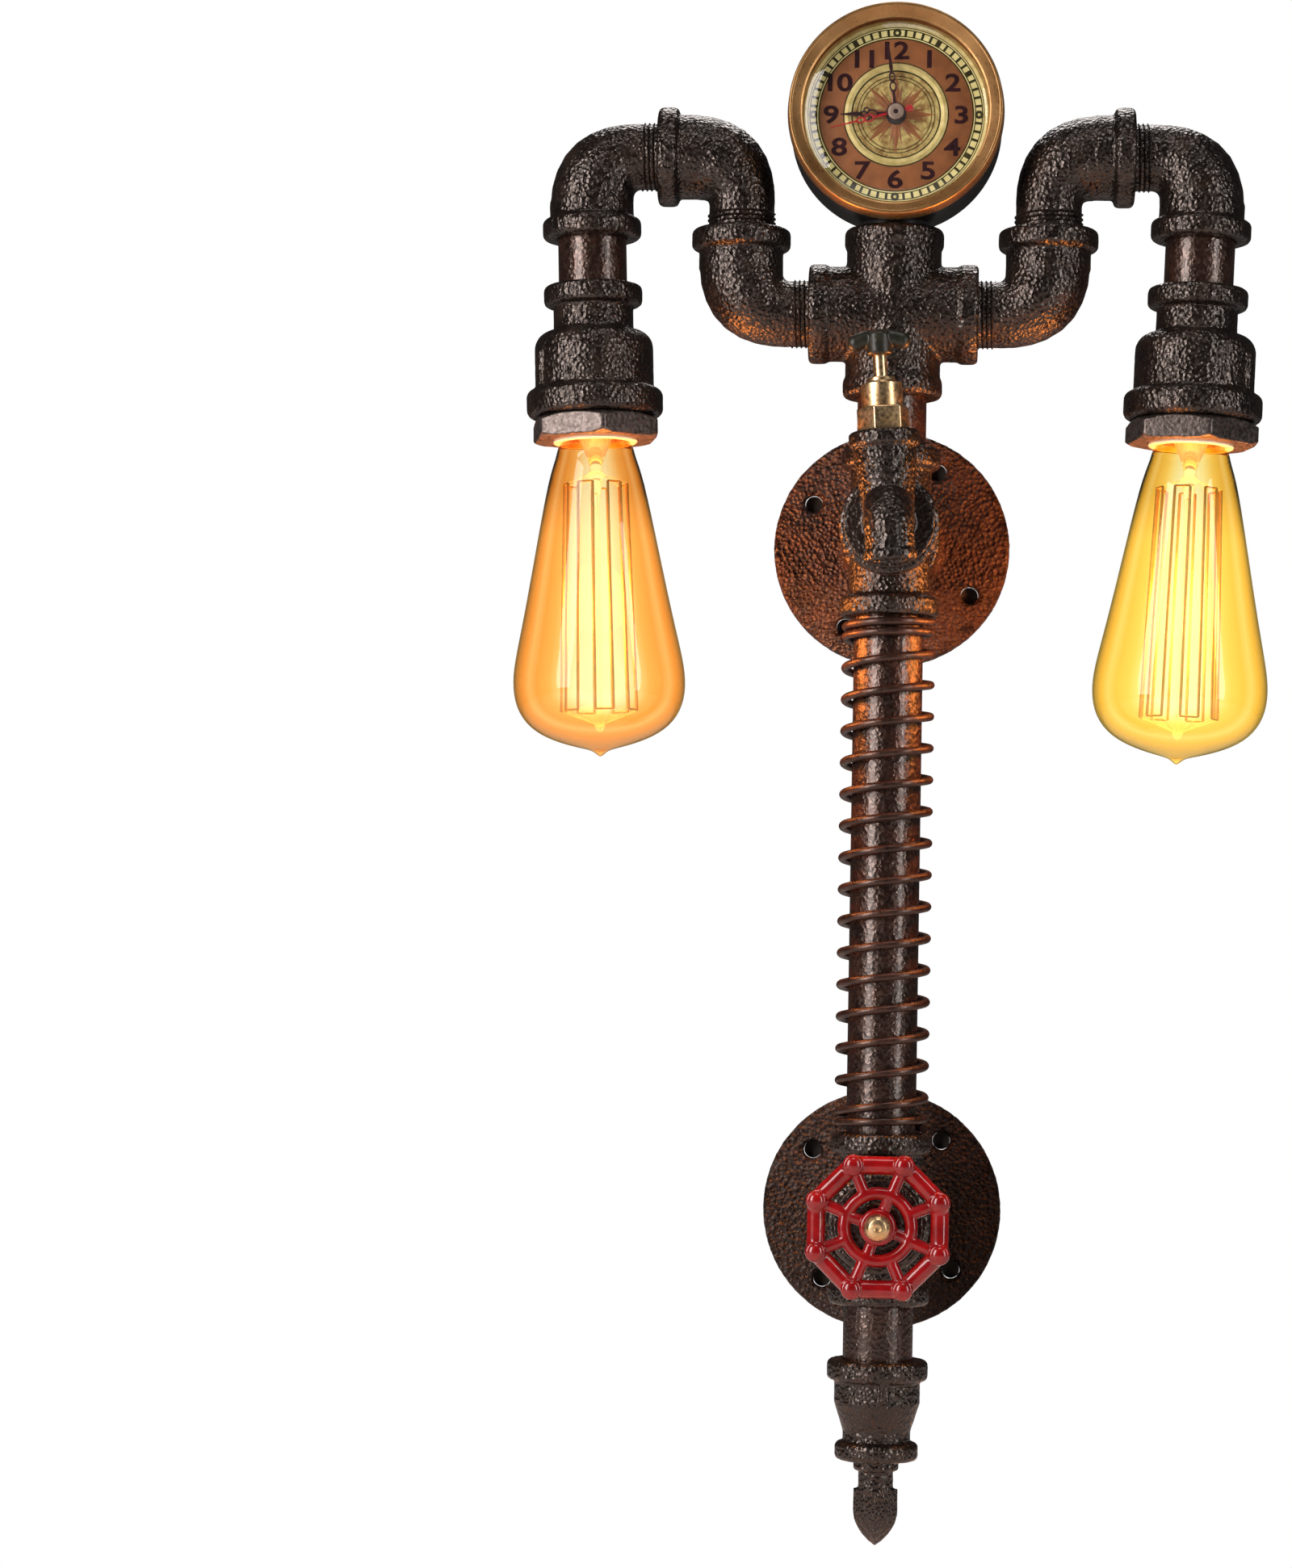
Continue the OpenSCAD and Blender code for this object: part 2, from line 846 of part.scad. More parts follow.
module tap_handle() {
  bar_r = handle_bar_d / 2;
  arch_r = handle_span;
  half = asin((handle_span / 2 - bar_r) / arch_r);
  bar_z = handle_z + handle_hub_h - 2;
  color(black)
    on_tap()
      difference() {
        union() {
          translate([0, tap_y, handle_z])
            rotate_extrude()
              bead_section(stem_r + 2.3, handle_hub_h, 1.5);
          translate([0, tap_y, bar_z - arch_r])
            rotate([90, 0, 0])
              rotate([0, 0, 90 - half])
                rotate_extrude(angle = 2 * half)
                  translate([arch_r, 0])
                    circle(bar_r);
          for (s = [-1, 1])
            translate([s * arch_r * sin(half), tap_y, bar_z - arch_r + arch_r * cos(half)])
              sphere(bar_r + rub);
        }
        translate([0, tap_y, 0])
          bar(stem_r + rub, handle_z - proud, handle_z + handle_hub_h - stem_seat + slack);
      }
}

// Switch and handwheel

module switch_bushing() {
  seat_r = bead_d / 2 - 2.5;
  color(iron)
    translate([0, face_y, lower_z])
      off_wall()
        difference() {
          union() {
            bar(male_r, -thread_len, lap);
            bar(seat_r, 0, bushing_h);
            bar(nose_r + 2, bushing_h - lap, nose_end);
          }
          bar(nose_r + thread_play, -thread_len - proud, nose_end + proud);
        }
}

module switch_body() {
  body_from = -thread_len - 20;
  color(black)
    translate([0, face_y, lower_z])
      off_wall()
        difference() {
          union() {
            bar(pass_r - 0.4, body_from, -thread_len - slack);
            bar(nose_r, -thread_len - slack - lap, nose_end);
          }
          bar(spindle_r + rub, spindle_from, nose_end + proud);
        }
}

module switch_spindle() {
  color(steel)
    translate([0, face_y, lower_z])
      off_wall()
        bar(spindle_r, spindle_from + slack, spindle_to);
}

// Angle and place of corner k of the handwheel's rim.
function wheel_angle(k) = 180 / wheel_corners + 360 * k / wheel_corners;
function wheel_corner(k) = wheel_corner_r * [cos(wheel_angle(k)), sin(wheel_angle(k)), 0];

module handwheel() {
  arms = 4;
  arm_turn = 70;
  spoke_r = 1.9;
  hub_r = wheel_hub_d / 2;
  knob_edge = 0.7;
  knob_h = rim_d + 2 * knob_edge + slack;
  color(enamel)
    translate([0, wheel_y, lower_z])
      off_wall()
        difference() {
          union() {
            for (k = [0:wheel_corners - 1]) {
              rod(wheel_corner(k), wheel_corner(k + 1), rim_d / 2);
              rotate([0, 0, wheel_angle(k)]) {
                translate([wheel_corner_r, 0, -knob_h / 2])
                  rotate_extrude()
                    bead_section(knob_d / 2, knob_h, knob_edge);
                rod([inner_ring_r, 0, 0], [wheel_corner_r, 0, 0], spoke_r);
              }
            }
            rotate_extrude()
              translate([inner_ring_r, 0])
                circle(d = inner_ring_d);
            translate([0, 0, -wheel_dish - wheel_hub_h / 2])
              rotate_extrude()
                bead_section(hub_r, wheel_hub_h, 1);
            for (k = [0:arms - 1])
              rotate([0, 0, arm_turn + 360 * k / arms])
                rod([0, 0, -wheel_dish], [inner_ring_r, 0, 0], spoke_r);
          }
          bar(spindle_r + rub, -wheel_hub_h - wheel_dish, wheel_hub_h);
        }
}

module wheel_nut() {
  nut_r = 5.2;
  nut_h = 6.5;
  dome_r = nut_r + 1;
  color(brass)
    translate([0, wheel_y, lower_z])
      off_wall()
        translate([0, 0, nut_seat])
          difference() {
            rotate_extrude() {
              square([nut_r, 2]);
              intersection() {
                square([nut_r, nut_h + proud]);
                translate([0, nut_h - dome_r])
                  circle(dome_r);
              }
            }
            bar(spindle_r + rub, -proud, nut_hole_h);
          }
}

// Clock: heights f are measured from the back of the case towards the room.

module on_clock() {
  translate([0, axis_y + case_depth / 2, clock_z])
    off_wall()
      children();
}

module clock_case() {
  back_edge = 4;
  back_t = 2;
  color(black)
    on_clock()
      difference() {
        union() {
          rotate_extrude() {
            translate([0, back_edge])
              square([case_r, case_depth - back_edge]);
            square([case_r - back_edge, case_depth]);
            translate([case_r - back_edge, back_edge])
              circle(back_edge);
          }
          translate([0, 0, case_depth / 2])
            rotate([90, 0, 0])
              bar(male_r, case_r - case_wall, clock_z - cross_z - port_a + thread_len);
        }
        bar(ledge_r, back_t, case_depth);
        bar(rim_r, ledge_f, case_depth + proud);
      }
}

module clock_bezel() {
  front_w = 1.4;
  edge_h = 0.6;
  top_f = case_depth + bezel_h;
  seat_f = top_f - bezel_lip;
  color(copper)
    on_clock()
      rotate_extrude()
        difference() {
          union() {
            polygon([
              [lip_r, case_depth],
              [bezel_r, case_depth],
              [bezel_r, top_f - edge_h],
              [bezel_r - edge_h, top_f],
              [bezel_r - front_w, top_f],
              [lip_r, seat_f + edge_h]
            ]);
            translate([glass_r + slack, dial_f])
              square([rim_r - glass_r - 2 * slack, case_depth - dial_f + lap]);
          }
          translate([lip_r - proud, dial_f - proud])
            square([glass_r + slack - lip_r + proud, seat_f - dial_f + proud]);
        }
}

module clock_glass() {
  color(amber, 0.3)
    on_clock()
      bar(glass_r, glass_f - slack, glass_f + glass_t - slack);
}

module clock_dial() {
  color(brass)
    on_clock()
      difference() {
        bar(rim_r - slack, ledge_f, dial_f);
        bar(bush_r + slack, ledge_f - proud, dial_f + proud);
      }
}

module clock_movement() {
  bay_w = battery_len + 2 * slack;
  bay_h = battery_d + 2 * slack;
  color(black)
    on_clock()
      difference() {
        union() {
          translate([-movement_w / 2, -movement_w / 2, ledge_f - movement_depth])
            cube([movement_w, movement_w, movement_depth]);
          bar(bush_r, ledge_f - lap, hour_f - slack);
          bar(post_r, ledge_f - lap, second_f + 0.8);
        }
        translate([-bay_w / 2, -movement_w / 2 + bay_rise, ledge_f - movement_depth - proud])
          cube([bay_w, bay_h, movement_depth - bay_front + proud]);
      }
}

module clock_battery() {
  battery_r = battery_d / 2;
  battery_y = -movement_w / 2 + bay_rise + slack + battery_r;
  battery_f = ledge_f - bay_front - slack - battery_r;
  color(brass)
    on_clock()
      translate([0, battery_y, battery_f])
        rotate([0, 90, 0]) {
          bar(battery_r, -battery_len / 2, battery_len / 2 - lap);
          bar(battery_r / 3, battery_len / 2 - lap - lap, battery_len / 2);
        }
}

// A hand points at a clock angle, with a leaf-shaped blade and a round collet on the post.
module clock_hand(f, angle, len, leaf, tail) {
  root_w = 0.9;
  waist_w = 0.7;
  tip_w = 0.15;
  leaf_y = len * 0.55;
  on_clock()
    rotate([0, 0, -angle])
      difference() {
        union() {
          bar(collet_r, f, f + collet_h);
          translate([0, 0, f + (collet_h - hand_t) / 2])
            linear_extrude(hand_t) {
              polygon([[-root_w, -tail], [root_w, -tail], [waist_w, leaf_y], [tip_w, len],
                [-tip_w, len], [-waist_w, leaf_y]]);
              translate([0, leaf_y])
                circle(leaf);
            }
        }
        bar(post_r + rub, f - proud, f + collet_h + proud);
      }
}

module hour_hand() {
  color(black)
    clock_hand(hour_f, 269, hour_len, 2.6, 0);
}

module minute_hand() {
  color(black)
    clock_hand(minute_f, 353, minute_len, 2, 0);
}

module second_hand() {
  color(enamel) {
    clock_hand(second_f, 256, second_len, 1.6, 7);
    on_clock()
      difference() {
        bar(collet_r + 0.6, second_f + slack, second_f + collet_h + slack);
        bar(post_r + rub, second_f - proud, second_f + 1);
      }
  }
}

// Arms, drawn for the left side

module right_side() {
  mirror([1, 0, 0])
    children();
}

module lower_elbow() {
  color(iron)
    translate([-arm_reach, axis_y, cross_z])
      street_elbow(90);
}

module upper_elbow() {
  color(iron)
    translate([-arm_reach, axis_y, run_z])
      rotate([0, 0, 180])
        rotate([0, 90, 0])
          street_elbow(90);
}

module drop_elbow() {
  color(iron)
    translate([-drop_x, axis_y, run_z])
      rotate([180, 0, 0])
        street_elbow(90 + drop_lean);
}

// Puts a shape on a hanging leg, with its height measured down from the drop elbow's centre.
module on_leg() {
  translate([-drop_x, axis_y, run_z])
    rotate([0, -drop_lean, 0])
      rotate([180, 0, 0])
        children();
}

module drop_nipple() {
  color(iron)
    on_leg()
      translate([0, 0, port_a])
        nipple(drop_len);
}

module socket_cup() {
  neck_r = cup_neck_d / 2;
  body_r = cup_body_d / 2;
  neck_end = bead_w + 10;
  shoulder_end = neck_end + 8.4;
  bead_from = cup_h - cup_bead_w;
  shoulder_r = 7;
  rib_w = 4;
  rib_h = 1.2;
  cavity_r = ring_thread_r + thread_play;
  color(iron)
    on_leg()
      translate([0, 0, cup_w])
        difference() {
          union() {
            rotate_extrude() {
              bead_section(bead_d / 2, bead_w, bead_edge);
              square([neck_r, shoulder_end]);
              translate([0, neck_end])
                square([body_r - shoulder_r, cup_h - neck_end]);
              translate([body_r - shoulder_r, neck_end + shoulder_r])
                circle(shoulder_r);
              translate([0, neck_end + shoulder_r])
                square([body_r, cup_h - neck_end - shoulder_r - lap]);
              translate([0, bead_from])
                bead_section(cup_bead_d / 2, cup_bead_w, 3);
            }
            for (a = [150, 330])
              rotate([0, 0, a])
                translate([0, -rib_w / 2, shoulder_end])
                  cube([body_r + rib_h, rib_w, bead_from + lap - shoulder_end]);
          }
          bar(bore_r, -proud, bore_depth);
          bar(pass_r, 0, cup_h);
          bar(cavity_r, shoulder_end, cup_h + proud);
        }
}

module socket_ring(turn) {
  ring_r = ring_corner_d / 2 - 0.3;
  flat_r = ring_corner_d / 2 * cos(30);
  chamfer_h = 2.2;
  edge_h = 1.2;
  color(iron)
    on_leg()
      difference() {
        union() {
          bar(ring_thread_r, seat_w, cup_mouth_w + lap);
          intersection() {
            translate([0, 0, cup_mouth_w])
              rotate([0, 0, turn])
                cylinder(d = ring_corner_d, h = ring_h, $fn = 6);
            translate([0, 0, cup_mouth_w])
              rotate_extrude()
                polygon([[0, 0], [flat_r - 0.6, 0], [ring_r, chamfer_h], [ring_r, ring_h - edge_h],
                  [flat_r + 1.2, ring_h], [0, ring_h]]);
          }
        }
        bar(ring_bore_d / 2, seat_w - proud, ring_end_w + proud);
      }
}

module lampholder() {
  roof_r = 15.5;
  well_r = shell_r + shell_t + slack;
  color(porcelain)
    on_leg()
      difference() {
        rotate_extrude() {
          translate([0, holder_roof_w])
            square([roof_r, seat_w - holder_roof_w]);
          translate([0, seat_w - holder_flange_h])
            square([ring_thread_r - slack, holder_flange_h]);
          translate([0, seat_w - lap])
            square([holder_r, holder_end_w - seat_w + lap - 1]);
          translate([0, holder_end_w - 2])
            bead_section(holder_r, 2, 0.8);
        }
        bar(well_r, shell_top_w, holder_end_w + proud);
        bar(2, holder_roof_w - proud, shell_top_w + proud);
      }
}

module lampholder_shell() {
  color(brass)
    on_leg() {
      difference() {
        bar(shell_r + shell_t, shell_top_w, cap_end_w - 2);
        bar(shell_r, shell_top_w + shell_t, cap_end_w);
        bar(7, shell_top_w - proud, shell_top_w + proud);
      }
      bar(4.5, shell_top_w, cap_top_w - slack);
    }
}

module bulb_cap() {
  color(brass)
    on_leg()
      difference() {
        rotate_extrude()
          polygon([[0, cap_top_w], [4.5, cap_top_w], [4.5, cap_top_w + 1], [9.5, cap_top_w + 2.5],
            [cap_r, cap_top_w + 4.5], [cap_r, cap_end_w], [0, cap_end_w]]);
        bar(cap_r - cap_wall, cap_top_w + 6, cap_end_w + proud);
      }
}

// Half section of the bulb, drawn in by inset all round.
module bulb_section(inset) {
  centre = [round_x, round_w];
  r = bulb_round_r - inset;
  cone = centre + r * [sin(bulb_point), cos(bulb_point)];
  cone_end_w = cone[1] + (cone[0] - tip_r) * tan(bulb_point);
  touch = centre + r * [cos(bulb_flare), -sin(bulb_flare)];
  shoulder_r = touch[0] - (touch[1] - shoulder_w) * tan(bulb_flare);
  collar_r = cap_r + 1.6 - inset;
  intersection() {
    translate(centre)
      circle(r);
    translate([0, round_w - bulb_r])
      square([bulb_r + proud, 2 * bulb_r]);
  }
  polygon([[0, neck_top_w], [neck_r - inset, neck_top_w], [neck_r - inset, cap_end_w + 0.8],
    [collar_r, cap_end_w + 3.5], [collar_r + 0.6, ring_end_w + 5], [shoulder_r, shoulder_w], touch,
    cone, [tip_r, cone_end_w], [0, cone_end_w]]);
}

module bulb_glass() {
  pip_r = 3;
  color(amber, 0.5)
    on_leg()
      difference() {
        rotate_extrude() {
          bulb_section(0);
          polygon([[0, bulb_end_w - lap], [pip_r, bulb_end_w - lap], [pip_r / 3, bulb_end_w + pip_h],
            [0, bulb_end_w + pip_h]]);
        }
        rotate_extrude()
          bulb_section(bulb_glass_t);
        bar(neck_r - bulb_glass_t, neck_top_w - proud, neck_top_w + proud);
      }
}

// Points where a filament strand meets its supports.
function strand_top(k) =
  let (a = strand_turn + 360 * k / strands)
  [filament_top_r * cos(a), filament_top_r * sin(a), filament_top_w];
function strand_end(k) =
  let (a = strand_turn + 360 * k / strands)
  [filament_end_r * cos(a), filament_end_r * sin(a), filament_end_w];

module bulb_stem() {
  flare_r = neck_r - bulb_glass_t - 0.1;
  rod_r = 2.2;
  wick_r = 1.2;
  support_r = 0.35;
  flare_w = neck_top_w + 2;
  color(porcelain)
    on_leg() {
      rotate_extrude()
        polygon([[0, flare_w], [flare_r, flare_w], [flare_r, flare_w + 1.5], [4, flare_w + 12],
          [rod_r, flare_w + 18], [rod_r, filament_top_w + 3], [wick_r, filament_top_w + 4],
          [wick_r, filament_end_w + 3], [0, filament_end_w + 4]]);
      for (k = [0:2:strands - 1]) {
        hub_top = [0, 0, filament_top_w];
        hub_end = [0, 0, filament_end_w];
        gap_top = (joint_r + slack) / filament_top_r;
        gap_end = (joint_r + slack) / filament_end_r;
        rod(hub_top, mix(strand_top(k), hub_top, gap_top), support_r);
        rod(hub_end, mix(strand_end(k), hub_end, gap_end), support_r);
      }
    }
}

// The filament is one wire that runs up and down round the stem, open where its two ends meet the leads.
module bulb_filament() {
  strand_r = strand_d / 2;
  link_r = strand_r * 0.8;
  color(amber)
    on_leg()
      for (k = [0:strands - 1]) {
        rod(strand_top(k), strand_end(k), strand_r);
        for (p = [strand_top(k), strand_end(k)])
          translate(p)
            sphere(joint_r);
        if (k < strands - 1)
          if (k % 2 == 0)
            rod(strand_end(k), strand_end(k + 1), link_r);
          else
            rod(strand_top(k), strand_top(k + 1), link_r);
      }
}

upper_flange();
lower_flange();
upper_wall_nipple();
lower_wall_nipple();
upper_cross();
lower_cross();
top_cross();
neck_nipple();
riser_pipe();
spring();
tail_nipple();
tail_reducer();
finial();
tap_body();
tap_bonnet();
tap_gland();
tap_stem();
tap_handle();
switch_bushing();
switch_body();
switch_spindle();
handwheel();
wheel_nut();
clock_case();
clock_bezel();
clock_glass();
clock_dial();
clock_movement();
clock_battery();
hour_hand();
minute_hand();
second_hand();
lower_elbow();  // left_lower_elbow
upper_elbow();  // left_upper_elbow
drop_elbow();  // left_drop_elbow
drop_nipple();  // left_drop_nipple
socket_cup();  // left_socket_cup
socket_ring(left_ring_turn);  // left_socket_ring
lampholder();  // left_lampholder
lampholder_shell();  // left_lampholder_shell
bulb_cap();  // left_bulb_cap
bulb_glass();  // left_bulb_glass
bulb_stem();  // left_bulb_stem
bulb_filament();  // left_bulb_filament
right_side() lower_elbow();  // right_lower_elbow
right_side() upper_elbow();  // right_upper_elbow
right_side() drop_elbow();  // right_drop_elbow
right_side() drop_nipple();  // right_drop_nipple
right_side() socket_cup();  // right_socket_cup
right_side() socket_ring(right_ring_turn);  // right_socket_ring
right_side() lampholder();  // right_lampholder
right_side() lampholder_shell();  // right_lampholder_shell
right_side() bulb_cap();  // right_bulb_cap
right_side() bulb_glass();  // right_bulb_glass
right_side() bulb_stem();  // right_bulb_stem
right_side() bulb_filament();  // right_bulb_filament
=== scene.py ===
# %% [markdown]
# # A wall lamp of pipe fittings
#
# The lamp is a real plumbing job: cast crosses, street elbows and pipe nipples carry two bulbs, a clock, a tap and
# a handwheel. The measured solids are already there as a frame. Every step below dresses one kind of piece: the
# castings get their soft edges and grain, the turned pieces their smooth curves, and everything gets its finish.

# %% Load the frame
import json
import math

import bmesh
import bpy
from mathutils import Matrix, Vector


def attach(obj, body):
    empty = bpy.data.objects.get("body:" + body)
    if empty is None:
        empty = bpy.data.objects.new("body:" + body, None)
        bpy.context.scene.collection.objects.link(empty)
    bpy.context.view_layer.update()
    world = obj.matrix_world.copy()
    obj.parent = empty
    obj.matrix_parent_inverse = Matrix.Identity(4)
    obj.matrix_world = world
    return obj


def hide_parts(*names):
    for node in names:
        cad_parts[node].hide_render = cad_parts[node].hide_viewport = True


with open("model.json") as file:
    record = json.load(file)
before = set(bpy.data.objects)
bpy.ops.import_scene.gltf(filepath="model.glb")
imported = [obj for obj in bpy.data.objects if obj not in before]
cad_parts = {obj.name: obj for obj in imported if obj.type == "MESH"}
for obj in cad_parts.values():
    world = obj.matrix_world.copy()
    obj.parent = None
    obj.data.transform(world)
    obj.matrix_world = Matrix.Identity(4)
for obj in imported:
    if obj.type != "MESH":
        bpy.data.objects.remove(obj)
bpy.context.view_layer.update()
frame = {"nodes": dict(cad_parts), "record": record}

body_of = {node: body for body, nodes in frame["record"]["behaviour"]["bodies"].items() for node in nodes}

# %% [markdown]
# ## Small helpers
#
# A few jobs come back in every step: placing and turning things, putting an object in the scene, making a mesh of a
# bmesh, adding a Math node and starting a finish. Written once as functions, they keep the later steps short. Sizes
# are in millimetres, as on a drawing, and are brought to Blender's metres here.

# %% Small helpers
mm = 0.001
sides = {"left": -1, "right": 1}


def at(x, y, z):
    """A place given in millimetres."""
    return Matrix.Translation((x * mm, y * mm, z * mm))


def turned(degrees, axis):
    """A turn about an axis through the origin."""
    return Matrix.Rotation(math.radians(degrees), 4, axis)


def put(name, data, place=Matrix.Identity(4)):
    """Makes an object of a mesh, text, lamp or camera and links it to the scene."""
    made = bpy.data.objects.new(name, data)
    made.matrix_world = place
    bpy.context.scene.collection.objects.link(made)
    return made


def mesh_of(name, shape, finish):
    """Makes a mesh of a bmesh, gives it its finish and frees the bmesh."""
    mesh = bpy.data.meshes.new(name)
    shape.to_mesh(mesh)
    shape.free()
    mesh.materials.append(finish)
    return mesh


def math_node(tree, operation, a, b):
    """Adds a Math node for a socket and another socket or a number, and gives its result."""
    node = tree.nodes.new("ShaderNodeMath")
    node.operation = operation
    tree.links.new(a, node.inputs[0])
    if isinstance(b, float):
        node.inputs[1].default_value = b
    else:
        tree.links.new(b, node.inputs[1])
    return node.outputs[0]


def sockets_of(finish):
    return finish.node_tree.nodes["Principled BSDF"].inputs


def new_finish(name, colour, roughness, **sockets):
    """Starts a Principled finish. Other sockets are named with _ for each blank."""
    finish = bpy.data.materials.new(name)
    finish.use_nodes = True
    sockets_of(finish)["Base Color"].default_value = (*colour, 1)
    sockets_of(finish)["Roughness"].default_value = roughness
    for socket, value in sockets.items():
        sockets_of(finish)[socket.replace("_", " ")].default_value = value
    return finish


off_wall, downward = turned(90, "X"), turned(180, "X")
print("helpers ready")

# %% [markdown]
# ## The camera
#
# The photograph was taken from about a metre and a half, a little to the right of the lamp and below its middle.
# A camera could be placed by eye, but pipes show every degree of error. So its place, turn and focal length were
# worked out from points on the lamp and where they lie in the picture. The lens is given for a 36 mm tall sensor.

# %% Camera
def camera_turn(yaw, pitch, roll):
    """The camera's right, up and back directions for a turn to the side, a tilt and a roll in degrees."""
    yaw, pitch, roll = map(math.radians, (yaw, pitch, roll))
    ahead = Vector((math.sin(yaw) * math.cos(pitch), math.cos(yaw) * math.cos(pitch), math.sin(pitch)))
    side = Vector((math.cos(yaw), -math.sin(yaw), 0))
    up = side.cross(ahead)
    right = side * math.cos(roll) + up * math.sin(roll)
    return Matrix((right, ahead.cross(right) * -1, ahead * -1)).transposed().to_4x4()


photo_height_px = 1942
focal_px = 4674.2
camera_place = Matrix.Translation((0.0183, -1.5283, -0.1728))
lens = bpy.data.cameras.new("photo_camera")
lens.sensor_fit = "VERTICAL"
lens.sensor_height = 36
lens.lens = focal_px / photo_height_px * lens.sensor_height
lens.clip_end = 20
camera = put("photo_camera", lens, camera_place @ camera_turn(-4.36, 2.86, 1.06))
bpy.context.scene.camera = camera
print("lens", round(lens.lens, 1), "mm")

# %% [markdown]
# ## The white background
#
# The lamp hangs in front of plain white. The world and the floor show white to the camera and through glass. A ray
# that has met a surface finds them dim, because iron that mirrors a white room would look grey. The Light Path node
# knows what a ray has met, so it can tell the two apart.

# %% World and floor
dim_world = 0.035
floor_z, floor_half = -470, 1.5


def white_to_view(tree):
    """Adds nodes that give 1 where a ray shows the background and 0 where it only lights the lamp."""
    rays = tree.nodes.new("ShaderNodeLightPath").outputs
    looked = math_node(tree, "MAXIMUM", rays["Is Camera Ray"], rays["Is Transmission Ray"])
    bounces = math_node(tree, "ADD", rays["Diffuse Depth"], rays["Glossy Depth"])
    return math_node(tree, "MULTIPLY", looked, math_node(tree, "LESS_THAN", bounces, 0.5))


world = bpy.data.worlds.new("white_studio")
world.use_nodes = True
bpy.context.scene.world = world
bpy.context.scene.view_settings.view_transform = "Standard"
world_tree = world.node_tree
backdrop = world_tree.nodes["Background"]
backdrop.inputs["Color"].default_value = (1, 1, 1, 1)
strength = world_tree.nodes.new("ShaderNodeMapRange")
strength.inputs["To Min"].default_value = dim_world
world_tree.links.new(white_to_view(world_tree), strength.inputs["Value"])
world_tree.links.new(strength.outputs["Result"], backdrop.inputs["Strength"])

floor_white = new_finish("floor_white", (0.85, 0.85, 0.85), 0.9)
floor_tree = floor_white.node_tree
blend = floor_tree.nodes.new("ShaderNodeMixShader")
floor_tree.links.new(white_to_view(floor_tree), blend.inputs["Fac"])
floor_tree.links.new(floor_tree.nodes["Principled BSDF"].outputs[0], blend.inputs[1])
floor_tree.links.new(floor_tree.nodes.new("ShaderNodeEmission").outputs[0], blend.inputs[2])
floor_tree.links.new(blend.outputs[0], floor_tree.nodes["Material Output"].inputs["Surface"])

shape = bmesh.new()
bmesh.ops.create_grid(shape, x_segments=1, y_segments=1, size=floor_half, matrix=at(0, 0, floor_z))
floor = put("floor", mesh_of("floor", shape, floor_white))
print("world and floor ready")

# %% [markdown]
# ### Dark behind the screw holes
#
# The flanges' empty screw holes are dark in the photograph, because the wall behind them lies in shadow. There is no
# wall here, so white would shine through them. Small dark discs in the plane of the wall stand in for it. Like the
# floor they belong to the stage and not to the lamp.

# %% Discs behind the holes
lower_z = -266
hole_circle_r, disc_r = 36.5, 3.5
hole_shadow = new_finish("hole_shadow", (0.03, 0.022, 0.018), 0.9)
shape = bmesh.new()
for height, first in ((0, 60), (lower_z, 50)):
    for k in range(4):
        angle = math.radians(first + 90 * k)
        spot = at(hole_circle_r * math.cos(angle), -0.2, height + hole_circle_r * math.sin(angle))
        bmesh.ops.create_circle(shape, cap_ends=True, segments=24, radius=disc_r * mm, matrix=spot @ off_wall)
wall_in_shadow = put("wall_in_shadow", mesh_of("wall_in_shadow", shape, hole_shadow))
print("discs", len(wall_in_shadow.data.polygons))

# %% [markdown]
# ### Soft boxes
#
# Two tall soft boxes at the sides draw the two bright streaks along each pipe, a small one above lights the tops, and
# one high behind lights the back. Point lamps would leave hard dots on the iron. The boxes are hidden from the camera
# and from rays through glass, so that none of them shows in a bulb.

# %% Soft boxes
def soft_box(name, place, target, size, watts, colour=(1, 1, 1)):
    """An area lamp of a width and height in metres, aimed from its place at a target."""
    lamp = bpy.data.lights.new(name, "AREA")
    lamp.shape = "RECTANGLE"
    lamp.size, lamp.size_y = size
    lamp.energy = watts
    lamp.color = colour
    aim = (Vector(target) - Vector(place)).to_track_quat("-Z", "Y").to_matrix().to_4x4()
    holder = put(name, lamp, Matrix.Translation(place) @ aim)
    holder.visible_camera = holder.visible_transmission = False


soft_box("left_box", (-0.95, -0.95, 0.28), (0, -0.06, 0), (0.46, 1.2), 17, (1.0, 0.95, 0.93))
soft_box("right_box", (1.05, -0.80, 0.15), (0, -0.06, -0.05), (0.22, 1.1), 6.5)
soft_box("top_box", (0.1, -0.5, 1.1), (0, -0.06, 0), (0.5, 0.4), 2)
soft_box("back_box", (0, 0.85, 1.1), (0, 0, -0.05), (0.7, 0.5), 6)
print("soft boxes", len(bpy.data.lights))

# %% [markdown]
# ## Textures that repeat
#
# The plain values of a finish sit on the shader's own sockets. What varies over the surface comes from noise read in
# Object coordinates, so the grain keeps its real size on every fitting. Cast iron is never one colour: sand leaves
# pits of a millimetre or two, oil darkens some patches, and high spots wear to a shine.

# %% Helpers for textures
def noise(finish, per_metre, detail, stretch=(1, 1, 1)):
    """A noise texture in Object coordinates with the given number of grains in a metre."""
    nodes, links = finish.node_tree.nodes, finish.node_tree.links
    mapping = nodes.new("ShaderNodeMapping")
    mapping.inputs["Scale"].default_value = stretch
    grain = nodes.new("ShaderNodeTexNoise")
    grain.inputs["Scale"].default_value = per_metre
    grain.inputs["Detail"].default_value = detail
    links.new(nodes.new("ShaderNodeTexCoord").outputs["Object"], mapping.inputs["Vector"])
    links.new(mapping.outputs["Vector"], grain.inputs["Vector"])
    return grain.outputs["Fac"]


def pits(finish, per_metre):
    """The distance to the nearest of scattered points: round dimples as on sand-cast or hammered iron."""
    nodes = finish.node_tree.nodes
    cells = nodes.new("ShaderNodeTexVoronoi")
    cells.inputs["Scale"].default_value = per_metre
    finish.node_tree.links.new(nodes.new("ShaderNodeTexCoord").outputs["Object"], cells.inputs["Vector"])
    return cells.outputs["Distance"]


